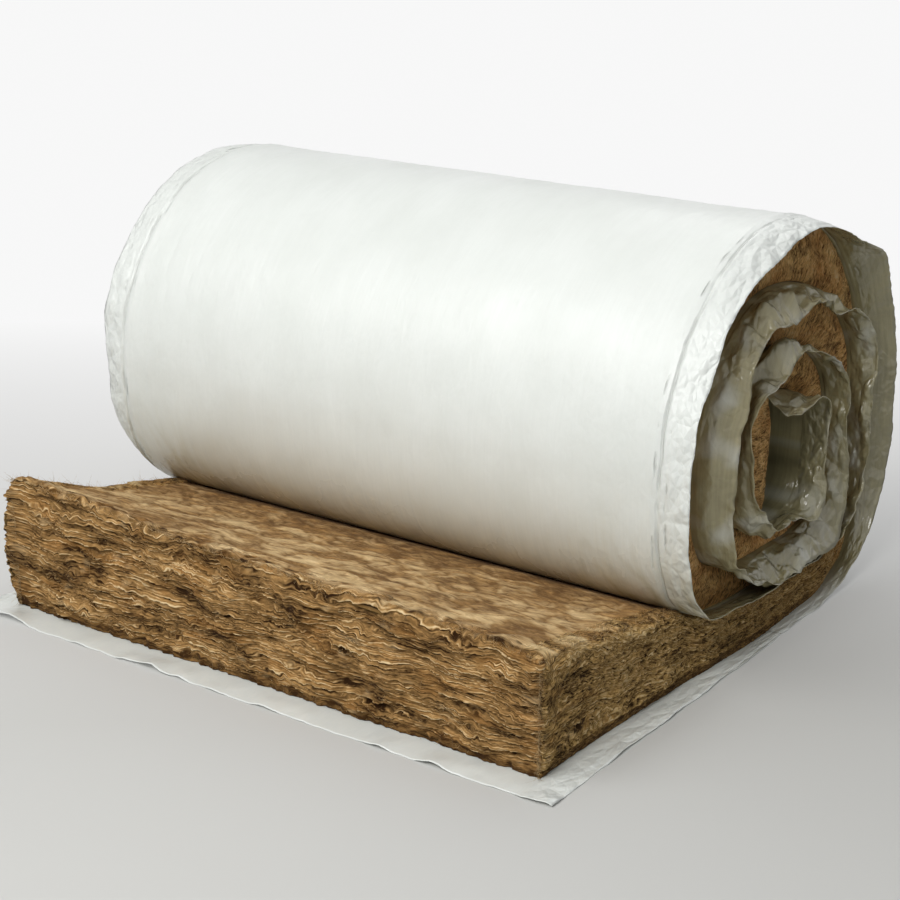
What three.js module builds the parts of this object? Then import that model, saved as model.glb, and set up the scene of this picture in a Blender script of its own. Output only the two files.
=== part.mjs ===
// Roll of mineral-wool insulation, partly unrolled.
//
// One blanket of wool is bonded to a plastic facing film that is wider than the wool,
// so the film stands past both ends of the roll as tabs and past the cut edge as a margin.
// The free end lies flat on the floor, film down. The rest is wound back over it, film
// outside, and the roll's weight presses the turns thinner underneath than over the top.
//
// Millimetres, +Z up. X runs along the roll. The cut edge faces -Y. The origin is on the
// floor, in the middle of the outline.

import * as THREE from 'three';

// ---- Blanket -------------------------------------------------------------------------
const woolWidth = 1200;
const looseThickness = 210; // wool at the cut edge, with nothing on it, at the +X side
const looseGain = 45; // how much more the wool has swelled at the -X side of the cut edge
const tailLength = 737.5; // from the cut edge to below the middle of the roll

// ---- Facing film ---------------------------------------------------------------------
const filmThickness = 1;
const tabWidth = 60; // film past the wool at each end of the roll
const cutMargin = 60; // film past the wool at the cut edge
const clearance = 0.3; // between the wool and the film

// ---- Roll ----------------------------------------------------------------------------
const rollRadius = 390; // outer turn, film included
const filmQuarters = 14; // quarter turns of film, counted from the floor
const woolQuarters = filmQuarters - 2; // the film runs on for half a turn past the wool

// Thickness that the blanket is pressed to between one turn of film and the next, in each
// direction from the roll's middle. One row for each turn, from the outside in.
const pressed = [
  { under: 80, back: 45, over: 125, front: 130 },
  { under: 72, back: 110, over: 112.5, front: 117 },
  { under: 56, back: 79, over: 87.5 },
];

// Fullness of the outline between two directions: 2 is an ellipse, more is squarer.
const fullness = { underToBack: 4.4, backToOver: 2.1, overToFront: 2, frontToUnder: 2.9 };

// Where the wool of the free end meets the underside of the roll, in quarter turns.
const nipQuarter = 3.45;
const nipSlope = 0.6; // share of the free end's run over which its top slopes down

// The eye: the innermost wool swells back past the roll's middle, and below the middle it
// thins out to its end.
const eyeSetback = 40; // from the middle back to the wool
const innerEndThickness = 10.7; // wool at its end, on the film below the middle

// ---- Free edges of the tabs ----------------------------------------------------------
const backFlare = 0.14; // how far the tabs lean out at the back, as a share of the radius
const overDroop = 0.08; // how far the tabs at the +X end droop over the top

// ---- Facets --------------------------------------------------------------------------
const facetLength = 32;
const fewestFacets = 9; // in a quarter turn
const nipFacets = 12;

// Places in the section, worked out from the sizes above: X is towards the back, Y is up.
const middle = new THREE.Vector2(tailLength, rollRadius);
const frontEdge = -cutMargin;
const backEdge = tailLength + rollRadius * (1 + backFlare);
const directionNames = ['under', 'back', 'over', 'front'];
const directions = [
  new THREE.Vector2(0, -1),
  new THREE.Vector2(1, 0),
  new THREE.Vector2(0, 1),
  new THREE.Vector2(-1, 0),
];
const fullnessByQuarter = [
  fullness.underToBack,
  fullness.backToOver,
  fullness.overToFront,
  fullness.frontToUnder,
];

// Distance from the roll's middle to the film at each whole quarter turn: the first turn
// has the roll's radius, and each later one lies one pressed blanket further in.
function filmRadii() {
  const radii = [];
  for (let quarter = 0; quarter <= filmQuarters; quarter += 1) {
    const turn = Math.floor(quarter / 4);
    const outer = radii[quarter - 4] ?? rollRadius;
    const layer = turn === 0 ? 0 : pressed[turn - 1][directionNames[quarter % 4]];
    radii.push(outer - layer);
  }
  return radii;
}

// Point of a spiral some share of the way through a quarter turn. Within a quarter it
// follows a quarter superellipse, level or upright at both ends, so quarters join smoothly.
function spiralPoint(quarter, share, radiusAt) {
  const angle = share * (Math.PI / 2);
  const power = 2 / fullnessByQuarter[quarter % 4];
  const leaving = directions[quarter % 4];
  const arriving = directions[(quarter + 1) % 4];
  return middle
    .clone()
    .addScaledVector(leaving, radiusAt(quarter) * Math.cos(angle) ** power)
    .addScaledVector(arriving, radiusAt(quarter + 1) * Math.sin(angle) ** power);
}

// Points of a spiral from one place to another, both counted in quarter turns, with each
// whole quarter turn among them.
function spiralPoints(from, to, radiusAt) {
  const points = [spiralPoint(Math.floor(from), from % 1, radiusAt)];
  let start = from;
  while (start < to) {
    const quarter = Math.floor(start);
    const end = Math.min(quarter + 1, to);
    const share = end - start;
    const arc = radiusAt(quarter) * (Math.PI / 2) * share;
    const steps = Math.ceil(Math.max(fewestFacets * share, arc / facetLength));
    for (let step = 1; step <= steps; step += 1) {
      points.push(spiralPoint(quarter, start - quarter + (share * step) / steps, radiusAt));
    }
    start = end;
  }
  return points;
}

// The same line moved sideways, to the left of its run for a positive distance. Each
// corner moves along its mitre, so every stretch keeps the whole distance.
function offsetLine(points, distance) {
  const normals = points.slice(1).map((point, index) => {
    const along = point.clone().sub(points[index]).normalize();
    return new THREE.Vector2(-along.y, along.x);
  });
  return points.map((point, index) => {
    const before = normals[Math.max(index - 1, 0)];
    const after = normals[Math.min(index, normals.length - 1)];
    const mitre = before.clone().add(after).normalize();
    return point.clone().addScaledVector(mitre, distance / mitre.dot(after));
  });
}

// Solid that runs along X, with the outline given in the YZ plane, and with its sections
// at the given places. The outline is drawn in XY and extruded in even steps along Z.
function solidAlongX(outline, places) {
  const steps = places.length - 1;
  const geometry = new THREE.ExtrudeGeometry(new THREE.Shape(outline), {
    depth: steps,
    steps,
    bevelEnabled: false,
  });
  const position = geometry.attributes.position;
  for (let index = 0; index < position.count; index += 1) {
    const place = places[Math.round(position.getZ(index))];
    position.setXYZ(index, place, position.getX(index), position.getY(index));
  }
  return geometry;
}

// Moves every vertex of a geometry by a function that changes the point given to it.
function reshape(geometry, change) {
  const position = geometry.attributes.position;
  const point = new THREE.Vector3();
  for (let index = 0; index < position.count; index += 1) {
    point.fromBufferAttribute(position, index);
    change(point);
    position.setXYZ(index, point.x, point.y, point.z);
  }
  geometry.computeVertexNormals();
  return geometry;
}

const radii = filmRadii();
const filmRadiusAt = (quarter) => radii[quarter];

// The film's outer face in three runs, which the wool shares: from below the middle of the
// roll to the nip, round to the wool's inner edge, and on to the film's own inner edge.
const firstRun = spiralPoints(0, nipQuarter, filmRadiusAt);
const woundRun = spiralPoints(nipQuarter, woolQuarters, filmRadiusAt);
const bareRun = spiralPoints(woolQuarters, filmQuarters, filmRadiusAt);

// Film: a band along the floor and up round the spiral, its outer face on the outline.
function facingFilm() {
  const front = new THREE.Vector2(frontEdge, 0);
  const outer = [front, ...firstRun, ...woundRun.slice(1), ...bareRun.slice(1)];
  const inner = offsetLine(outer, filmThickness);
  const woolEnd = woolWidth / 2;
  const edge = woolEnd + tabWidth;
  const geometry = solidAlongX([...outer, ...inner.reverse()], [-edge, -woolEnd, woolEnd, edge]);
  return reshape(geometry, (point) => {
    if (Math.abs(point.x) > woolEnd && point.y > middle.x) {
      point.y = middle.x + (point.y - middle.x) * (1 + backFlare);
    }
    if (point.x > woolEnd && point.z > middle.y) {
      point.z = middle.y + (point.z - middle.y) * (1 - overDroop);
    }
  });
}

// Top of the free end, from the roll down to the cut edge.
function tailTop(nip) {
  const top = new THREE.QuadraticBezierCurve(
    new THREE.Vector2(0, looseThickness),
    new THREE.Vector2(nip.x * nipSlope, nip.y),
    nip,
  );
  return top.getPoints(nipFacets).slice(0, -1).reverse();
}

// Wool: it lies on the film's inner face, and inwards it reaches the next turn of film,
// or the eye where there is none.
function woolBlanket() {
  const bottom = [new THREE.Vector2(0, 0), ...firstRun, ...woundRun.slice(1)];
  const offFilm = filmThickness + clearance;
  const onFilm = offsetLine(bottom, offFilm);

  const lastTurn = filmQuarters - 4;
  const eyeRadii = [
    radii[filmQuarters] - offFilm,
    -eyeSetback,
    radii[woolQuarters] - offFilm - innerEndThickness,
  ];
  const eyeRadiusAt = (quarter) => eyeRadii[quarter - lastTurn];
  const round = spiralPoints(lastTurn, woolQuarters, eyeRadiusAt).slice(1).reverse();

  const underFilm = offsetLine([...woundRun, ...bareRun.slice(1)], -clearance).reverse();
  const overEdge = underFilm[0].clone().add(new THREE.Vector2(-clearance, 0));
  const underEdge = overEdge.clone().sub(new THREE.Vector2(0, filmThickness + 2 * clearance));
  const nip = underFilm[underFilm.length - 1];

  const outline = [...onFilm, ...round, underEdge, overEdge, ...underFilm.slice(1), ...tailTop(nip)];
  const geometry = solidAlongX(outline, [-woolWidth / 2, woolWidth / 2]);
  return reshape(geometry, (point) => {
    const ahead = Math.max(0, 1 - point.y / (tailLength - rollRadius));
    const height = point.z / looseThickness;
    if (point.x < 0 && height <= 1) {
      point.z += looseGain * ahead * height;
    }
  });
}

function piece(name, geometry, color, roughness) {
  const material = new THREE.MeshStandardMaterial({ color, roughness, metalness: 0 });
  const mesh = new THREE.Mesh(geometry, material);
  mesh.name = name;
  mesh.position.y = -(frontEdge + backEdge) / 2;
  return mesh;
}

const roll = new THREE.Group();
roll.add(piece('wool_blanket', woolBlanket(), 0x8a6238, 1));
roll.add(piece('facing_film', facingFilm(), 0xdfe5df, 0.45));

export default roll;
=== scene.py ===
"""Partly unrolled roll of faced mineral wool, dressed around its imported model.

One blanket of crimped brown wool is glued to a white plastic film. The free end lies
flat with the film down, and the rest is wound back over it as a spiral. Metres, +Z up,
X along the roll, the cut edge of the free end towards -Y.
"""

import logging
import math
from collections.abc import Callable
from dataclasses import dataclass, field
from enum import Enum

import bpy
import numpy as np
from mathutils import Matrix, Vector


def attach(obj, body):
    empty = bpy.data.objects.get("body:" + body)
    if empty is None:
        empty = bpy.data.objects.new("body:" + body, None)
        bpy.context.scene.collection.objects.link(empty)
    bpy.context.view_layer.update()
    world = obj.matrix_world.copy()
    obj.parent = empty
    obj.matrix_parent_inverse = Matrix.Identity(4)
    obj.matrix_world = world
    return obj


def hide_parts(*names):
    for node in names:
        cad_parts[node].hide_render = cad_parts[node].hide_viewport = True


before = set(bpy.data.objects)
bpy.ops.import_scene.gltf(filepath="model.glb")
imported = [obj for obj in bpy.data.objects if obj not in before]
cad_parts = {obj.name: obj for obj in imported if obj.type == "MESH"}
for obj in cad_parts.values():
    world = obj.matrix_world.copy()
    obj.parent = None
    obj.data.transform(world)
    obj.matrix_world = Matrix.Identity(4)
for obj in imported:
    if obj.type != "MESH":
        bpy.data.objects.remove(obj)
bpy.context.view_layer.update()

FILM_NODE = "facing_film"
WOOL_NODE = "wool_blanket"
FLOOR_LEVEL = -0.0006

log = logging.getLogger("insulation_roll")

Array = np.ndarray


class End(Enum):
    """The two ends of the roll, by the sign of X."""

    LEFT = -1
    RIGHT = 1


# ---- Numbers that vary smoothly ------------------------------------------------------


class Noise:
    """Smooth gradient noise in two directions, from a seeded grid of slopes."""

    def __init__(self, seed: int, size: int = 256) -> None:
        """Draws the slopes of a square grid that repeats every size units."""
        turn = np.random.default_rng(seed).uniform(0.0, 2.0 * np.pi, (size, size))
        self.slope = np.stack([np.cos(turn), np.sin(turn)], axis=-1)
        self.wrap = size - 1

    def at(self, u: Array, v: Array) -> Array:
        """Noise from about -1 to 1, with one lump to each unit of u and of v.

        Each grid corner gives the height of its own tilted plane at the point, and
        the four heights are blended with a quintic ease.

        Args:
            u: Places along the first direction.
            v: Places along the second direction.
        Returns:
            One number for each place.
        """
        u, v = np.broadcast_arrays(np.asarray(u, float), np.asarray(v, float))
        i, j = np.floor(u).astype(int), np.floor(v).astype(int)
        a, b = u - i, v - j
        ease_a = a * a * a * (a * (a * 6 - 15) + 10)
        ease_b = b * b * b * (b * (b * 6 - 15) + 10)

        def plane(di: int, dj: int) -> Array:
            """Height of one corner's tilted plane."""
            slope = self.slope[(i + di) & self.wrap, (j + dj) & self.wrap]
            return slope[..., 0] * (a - di) + slope[..., 1] * (b - dj)

        low = plane(0, 0) * (1 - ease_a) + plane(1, 0) * ease_a
        high = plane(0, 1) * (1 - ease_a) + plane(1, 1) * ease_a
        return 1.5 * (low * (1 - ease_b) + high * ease_b)

    def layered(self, u: Array, v: Array, octaves: int = 3, gain: float = 0.5) -> Array:
        """Sum of noises, each half the size of the one before and gain times as strong."""
        total, strength = 0.0, 1.0
        for octave in range(octaves):
            shift = 17.3 * octave
            total = total + strength * self.at(u * 2**octave + shift, v * 2**octave - shift)
            strength *= gain
        return total

    def ridged(self, u: Array, v: Array) -> Array:
        """Sharp crests where the noise passes through nought: 1 there, less elsewhere."""
        return 1.0 - 2.0 * np.abs(self.at(u, v))

    def creased(self, u: Array, v: Array) -> Array:
        """Flat facets that meet in sharp creases, from about -1 to 1.

        Each grid corner has a height. Each cell is split along one of its diagonals,
        and the height runs straight across each of its two triangles.
        """
        sway, slower, apart = 0.55, 0.7, 9
        u, v = np.broadcast_arrays(np.asarray(u, float), np.asarray(v, float))
        slow_u, slow_v = u * slower, v * slower
        u, v = (u + sway * self.at(slow_u, slow_v),
                v + sway * self.at(slow_u + apart, slow_v + apart))
        i, j = np.floor(u).astype(int), np.floor(v).astype(int)
        a, b = u - i, v - j

        def corner(di: int, dj: int) -> Array:
            """Height at one corner of the cell."""
            return self.slope[(i + di) & self.wrap, (j + dj) & self.wrap, 0]

        near, far, side, up = corner(0, 0), corner(1, 1), corner(1, 0), corner(0, 1)
        rising = self.slope[i & self.wrap, j & self.wrap, 1] > 0
        under = near + a * (side - near) + b * (far - side)
        above = near + b * (up - near) + a * (far - up)
        low = near + a * (side - near) + b * (up - near)
        high = far + (1 - a) * (up - far) + (1 - b) * (side - far)
        return np.where(rising, np.where(a > b, under, above), np.where(a + b < 1, low, high))


@dataclass(frozen=True)
class Wave:
    """One layer of relief or tone, cut from layered noise.

    Its value is height x noise(u / long + cut, v / wide + cut).
    """

    height: float
    long: float
    wide: float
    octaves: int = 2
    cut: float = 0.0

    def over(self, noise: Noise, u: Array, v: Array) -> Array:
        """The wave's value at each place."""
        return self.height * noise.layered(u / self.long + self.cut, v / self.wide + self.cut,
                                           self.octaves)


def bell(distance: Array, width: float) -> Array:
    """1 at no distance, falling off smoothly over a width."""
    return np.exp(-((distance / width) ** 2))


def smooth_step(low: float, high: float, value: Array) -> Array:
    """0 below low, 1 above high and an S-curve between them."""
    t = np.clip((value - low) / (high - low), 0.0, 1.0)
    return t * t * (3.0 - 2.0 * t)


def blend_table(table: tuple, place: Array, softness: float = 0.03) -> Array:
    """A value given at some places, joined by straight runs with softened corners.

    Args:
        table: Pairs of place and value, in order.
        place: Places to read.
        softness: Distance over which each corner is rounded.
    Returns:
        One value for each place.
    """
    xs, ys = np.array(table, float).T
    offsets = np.linspace(-1.5, 1.5, 7) * softness
    weights = np.exp(-0.5 * (offsets / softness) ** 2)
    total = sum(w * np.interp(place + o, xs, ys) for w, o in zip(weights, offsets))
    return total / weights.sum()


# ---- Section of the roll -------------------------------------------------------------


@dataclass(frozen=True)
class Run:
    """A line in the YZ plane with its length, its outward normals and its places."""

    length: Array
    point: Array
    normal: Array
    place: Array

    @classmethod
    def through(cls, point: Array, place: Array) -> "Run":
        """Measures a dense line: the outward normal is its direction turned right."""
        step = np.linalg.norm(np.diff(point, axis=0), axis=1)
        keep = np.concatenate([[True], step > 1e-9])
        point, place = point[keep], place[keep]
        length = np.concatenate([[0.0], np.cumsum(step[keep[1:]])])
        along = np.gradient(point, length, axis=0)
        along /= np.linalg.norm(along, axis=1, keepdims=True)
        normal = np.stack([along[:, 1], -along[:, 0]], axis=1)
        return cls(length, point, normal, place)

    def at(self, length: Array) -> tuple[Array, Array, Array]:
        """Point, outward normal and place at each length."""

        def read(values: Array) -> Array:
            """One value along the run, straight between its points."""
            return np.interp(length, self.length, values)

        point = np.stack([read(self.point[:, 0]), read(self.point[:, 1])], axis=-1)
        normal = np.stack([read(self.normal[:, 0]), read(self.normal[:, 1])], axis=-1)
        normal /= np.linalg.norm(normal, axis=-1, keepdims=True)
        return point, normal, read(self.place)

    def length_at(self, place: float) -> float:
        """Length at a place."""
        return float(np.interp(place, self.place, self.length))


@dataclass(frozen=True)
class Section:
    """Sizes that the film and the wool share, and the spiral that they follow."""

    half_width: float = 0.600
    tab: float = 0.060
    cut_y: float = -0.56105
    cut_margin: float = 0.060
    middle_y: float = 0.17645
    middle_z: float = 0.390
    radius: float = 0.390
    layers: tuple = (
        (0.080, 0.045, 0.125, 0.130), (0.072, 0.110, 0.1125, 0.117), (0.056, 0.079, 0.0875),
    )
    fullness: tuple = (4.4, 2.1, 2.0, 2.9)
    film_quarters: int = 14
    wool_quarters: int = 12
    nip_place: float = 3.45
    eye_setback: float = 0.040
    eye_depth: float = 0.170
    tail_quarter: float = 0.600
    gap: float = 0.0013

    def film_radii(self) -> Array:
        """Distance of the film from the middle at each whole quarter turn."""
        radii = [self.radius] * 4
        for turn in self.layers:
            radii.extend([outside - layer for outside, layer in zip(radii[-4:], turn)])
        return np.array(radii)

    def spiral(self, place: Array, radii: Array) -> Array:
        """Points at places counted in quarter turns from under the middle.

        Each quarter is a quarter of a superellipse between the radii at its ends:
        the cosine and sine of the angle, raised to 2 over the fullness, times them.
        """
        place = np.asarray(place, float)
        quarter = np.clip(np.ceil(place) - 1, 0, len(radii) - 2).astype(int)
        angle = np.clip(place - quarter, 0.0, 1.0) * (np.pi / 2)
        power = 2.0 / np.array(self.fullness)[quarter % 4]
        leaving = np.clip(np.cos(angle), 0, 1) ** power * radii[quarter]
        arriving = np.clip(np.sin(angle), 0, 1) ** power * radii[quarter + 1]
        ways = np.array([[0.0, -1.0], [1.0, 0.0], [0.0, 1.0], [-1.0, 0.0]])
        offset = leaving[..., None] * ways[quarter % 4]
        offset = offset + arriving[..., None] * ways[(quarter + 1) % 4]
        return offset + np.array([self.middle_y, self.middle_z])

    def film_run(self) -> Run:
        """The film's outer face, from its front edge along the floor to the core."""
        front = self.cut_y - self.cut_margin
        y = np.linspace(front, self.middle_y, 900)[:-1]
        tail = np.stack([y, np.zeros_like(y)], axis=1)
        place = np.linspace(0.0, self.film_quarters, 700 * self.film_quarters + 1)
        wound = self.spiral(place, self.film_radii())
        places = np.concatenate([(y - self.middle_y) / self.tail_quarter, place])
        return Run.through(np.concatenate([tail, wound]), places)

    def eye_radii(self) -> Array:
        """Distance of the innermost wool's inner side from the middle, by quarter.

        It starts under the film's inner edge, swells back past the middle and ends low
        on the film.
        """
        last = self.film_quarters - 4
        eye = np.zeros(self.film_quarters + 1)
        eye[last:last + 3] = self.film_radii()[-1] - self.gap, -self.eye_setback, self.eye_depth
        return eye


# ---- Meshes --------------------------------------------------------------------------


@dataclass
class Shell:
    """Vertices, faces and per-vertex values that are put together into one mesh."""

    vertices: list = field(default_factory=list)
    uv: list = field(default_factory=list)
    marks: list = field(default_factory=list)
    faces: list = field(default_factory=list)
    slots: list = field(default_factory=list)
    count: int = 0

    def add(self, points: Array, uv: Array | None = None, marks: Array | None = None) -> Array:
        """Adds points of any grid shape and returns their indices in that shape."""
        shape = points.shape[:-1]
        number = int(np.prod(shape))
        self.vertices.append(points.reshape(-1, 3))
        self.uv.append(np.zeros((number, 2)) if uv is None else uv.reshape(-1, 2))
        self.marks.append(np.zeros((number, 3)) if marks is None else marks.reshape(-1, 3))
        index = np.arange(self.count, self.count + number).reshape(shape)
        self.count += number
        return index

    def quads(self, index: Array, slot: int = 0, flip: bool = False) -> None:
        """Faces over a grid of indices: rows lead, columns follow, faces to row x column."""
        a, b, c, d = index[:-1, :-1], index[1:, :-1], index[1:, 1:], index[:-1, 1:]
        cells = np.stack([a, d, c, b] if flip else [a, b, c, d], axis=-1).reshape(-1, 4)
        self.faces.extend(cells.tolist())
        self.slots.extend([slot] * len(cells))

    def polygon(self, ring: Array, slot: int = 0, flip: bool = False) -> None:
        """One face round a ring of indices."""
        ring = list(map(int, ring))
        self.faces.append(ring[::-1] if flip else ring)
        self.slots.append(slot)

    def block(self, face: Array, rims: list, flip: bool) -> None:
        """Closes a grid, with a rim behind its first row and one behind its last."""
        first, last = rims
        for pair in ((first, face[0]), (face[-1], last), (last, first)):
            self.quads(np.stack(pair), flip=flip)
        for column, turned in ((0, not flip), (-1, flip)):
            self.polygon([*face[:, column], last[column], first[column]], flip=turned)

    def make(self, name: str, materials: list) -> bpy.types.Object:
        """Puts the arrays into a smooth mesh object at the origin.

        Args:
            name: Name of the piece.
            materials: Materials, in the order of the face slots.
        Returns:
            The new object.
        """
        mesh = bpy.data.meshes.new(name)
        vertices = np.concatenate(self.vertices)
        mesh.from_pydata(vertices.tolist(), [], self.faces)
        mesh.polygons.foreach_set("material_index", np.array(self.slots, np.int32))
        mesh.polygons.foreach_set("use_smooth", np.ones(len(self.faces), bool))
        corner = np.zeros(len(mesh.loops), np.int32)
        mesh.loops.foreach_get("vertex_index", corner)
        layer = mesh.uv_layers.new(name="Flat")
        layer.data.foreach_set("uv", np.concatenate(self.uv)[corner].astype(np.float32).ravel())
        marks = np.concatenate(self.marks)
        colour = np.concatenate([marks, np.ones((len(marks), 1))], axis=1)
        attribute = mesh.color_attributes.new("Marks", "FLOAT_COLOR", "POINT")
        attribute.data.foreach_set("color", colour.astype(np.float32).ravel())
        for material in materials:
            mesh.materials.append(material)
        mesh.update()
        log.info("%s: %d triangles", name, sum(len(face) - 2 for face in self.faces))
        return linked(name, mesh)


def linked(name: str, data: bpy.types.ID) -> bpy.types.Object:
    """A new object in the scene for a mesh, a lamp or a camera."""
    thing = bpy.data.objects.new(name, data)
    bpy.context.scene.collection.objects.link(thing)
    return thing


def grid_normals(points: Array) -> Array:
    """Unit normals of a grid of points, along row direction x column direction."""
    rows, columns = np.gradient(points, axis=0), np.gradient(points, axis=1)
    normal = np.cross(rows, columns)
    return normal / np.maximum(np.linalg.norm(normal, axis=-1, keepdims=True), 1e-12)


def spaced(*stretches: tuple[float, float, float]) -> Array:
    """Values through several stretches, each given as (from, to, spacing)."""
    parts = []
    for start, end, spacing in stretches:
        steps = max(1, math.ceil(abs(end - start) / spacing))
        parts.append(np.linspace(start, end, steps + 1)[:-1])
    return np.concatenate([*parts, [stretches[-1][1]]])


# ---- Finishes ------------------------------------------------------------------------


class Nodes:
    """Short hand for building a node tree."""

    def __init__(self, tree: bpy.types.NodeTree) -> None:
        """Keeps the tree that the nodes go into."""
        self.tree = tree

    def put(self, target: bpy.types.NodeSocket, value: object) -> None:
        """Links an output to an input, or sets a number, a vector or a colour on it."""
        if isinstance(value, bpy.types.NodeSocket):
            self.tree.links.new(value, target)
        elif isinstance(value, tuple) and len(value) < len(target.default_value):
            target.default_value = (*value, 1.0)
        else:
            target.default_value = value

    def add(self, kind: str, *values: object, **settings: object) -> bpy.types.Node:
        """Adds a node.

        Args:
            kind: Type of node.
            values: Values or outputs for its first inputs, in order.
            settings: Properties of the node, or values or outputs for named inputs.
        Returns:
            The node.
        """
        node = self.tree.nodes.new(kind)
        for name, value in settings.items():
            if hasattr(node, name):
                setattr(node, name, value)
            else:
                self.put(node.inputs[name.replace("_", " ")], value)
        for target, value in zip(node.inputs, values):
            self.put(target, value)
        return node

    def math(self, operation: str, *values: object) -> bpy.types.NodeSocket:
        """A Math node with numbers or outputs as its values."""
        return self.add("ShaderNodeMath", *values, operation=operation).outputs[0]

    def mix(self, share: object, first: object, second: object,
            blend: str = "MIX") -> bpy.types.NodeSocket:
        """Mixes two colours; each may be a colour or an output, and so may the share."""
        node = self.add("ShaderNodeMix", data_type="RGBA", blend_type=blend)
        for position, value in ((0, share), (6, first), (7, second)):
            self.put(node.inputs[position], value)
        return node.outputs[2]

    def remap(self, value: object, low: float, high: float,
              to_low: float = 0.0, to_high: float = 1.0) -> bpy.types.NodeSocket:
        """Carries a value from one range to another, held at its ends."""
        return self.add("ShaderNodeMapRange", value, low, high, to_low, to_high).outputs[0]

    def noise(self, vector: object, scale: tuple, detail: float = 3.0, rough: float = 0.55,
              distortion: float = 0.0) -> bpy.types.NodeSocket:
        """Noise texture over a vector that is first stretched by three scales."""
        mapping = self.add("ShaderNodeMapping", Vector=vector, Scale=scale)
        return self.add("ShaderNodeTexNoise", Vector=mapping.outputs[0], Scale=1.0, Detail=detail,
                        Roughness=rough, Distortion=distortion).outputs["Fac"]


@dataclass
class Surface:
    """A material under way: its shader, and the marks and flat map of its mesh."""

    name: str

    def __post_init__(self) -> None:
        """Makes the material with one Principled shader."""
        self.material = bpy.data.materials.new(self.name)
        self.material.use_nodes = True
        self.nodes = Nodes(self.material.node_tree)
        self.shader = self.material.node_tree.nodes["Principled BSDF"]

    def read_mesh(self) -> tuple[list, bpy.types.NodeSocket]:
        """The three marks and the flat map, as outputs."""
        marks = self.nodes.add("ShaderNodeVertexColor", layer_name="Marks")
        channels = self.nodes.add("ShaderNodeSeparateColor", marks.outputs["Color"])
        return list(channels.outputs), self.nodes.add("ShaderNodeUVMap", uv_map="Flat").outputs[0]

    def group(self, name: str, build: Callable, **inputs: object) -> bpy.types.Node:
        """Places a shader group, which is built once, with its own values."""
        tree = bpy.data.node_groups.get(name) or build(name)
        node = self.nodes.add("ShaderNodeGroup", node_tree=tree)
        for name, value in inputs.items():
            self.nodes.put(node.inputs[name], value)
        return node

    def finish(self, height: object, strength: float, distance: float,
               **settings: object) -> bpy.types.Material:
        """Sets the shader's named inputs, and bumps it by a height.

        Args:
            height: The bump's height, an output.
            strength: The bump's strength.
            distance: The bump's depth in metres.
            settings: Values or outputs for the shader's inputs.
        Returns:
            The material.
        """
        bump = self.nodes.add("ShaderNodeBump", Strength=strength, Distance=distance,
                              Height=height)
        for name, value in {**settings, "Normal": bump.outputs[0]}.items():
            self.nodes.put(self.shader.inputs[name.replace("_", " ")], value)
        return self.material


def new_group(name: str, inputs: dict[str, str], outputs: tuple[str, ...]) -> tuple:
    """An empty shader group.

    Args:
        name: Name of the group.
        inputs: Kind of value for each input, by name.
        outputs: Names of the outputs, which are all numbers.
    Returns:
        The group's nodes, its inputs to read and its outputs to fill.
    """
    tree = bpy.data.node_groups.new(name, "ShaderNodeTree")
    for socket, kind in inputs.items():
        tree.interface.new_socket(socket, in_out="INPUT", socket_type=f"NodeSocket{kind}")
    for socket in outputs:
        tree.interface.new_socket(socket, in_out="OUTPUT", socket_type="NodeSocketFloat")
    nodes = Nodes(tree)
    return nodes, nodes.add("NodeGroupInput").outputs, nodes.add("NodeGroupOutput").inputs


def fibre_group(name: str) -> bpy.types.NodeTree:
    """Group that puts out fine matted fibres: a height, and a tone from 0 to 1.

    The fibres follow the flat map of the piece. A slower noise bends them, and the
    scales along and across it give their length and their thickness.
    """
    bend_scale, bend_reach = 60.0, (0.004, 0.004, 0.0)
    detail, roughness, tone_range = 4.0, 0.62, (0.32, 0.68)
    nodes, given, out = new_group(
        name, {"Vector": "Vector", "Along": "Float", "Across": "Float"}, ("Height", "Tone"))
    scale = nodes.add("ShaderNodeCombineXYZ", given["Along"], given["Across"], 1.0)
    bend = nodes.add("ShaderNodeTexNoise", Vector=given["Vector"], Scale=bend_scale, Detail=2.0)
    bent = nodes.add("ShaderNodeVectorMath", bend.outputs["Color"], bend_reach, given["Vector"],
                     operation="MULTIPLY_ADD")
    stretched = nodes.add("ShaderNodeVectorMath", bent.outputs[0], scale.outputs[0],
                          operation="MULTIPLY")
    fine = nodes.add("ShaderNodeTexNoise", Vector=stretched.outputs[0], Scale=1.0, Detail=detail,
                     Roughness=roughness).outputs["Fac"]
    nodes.put(out["Height"], fine)
    nodes.put(out["Tone"], nodes.remap(fine, *tone_range))
    return nodes.tree


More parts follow.
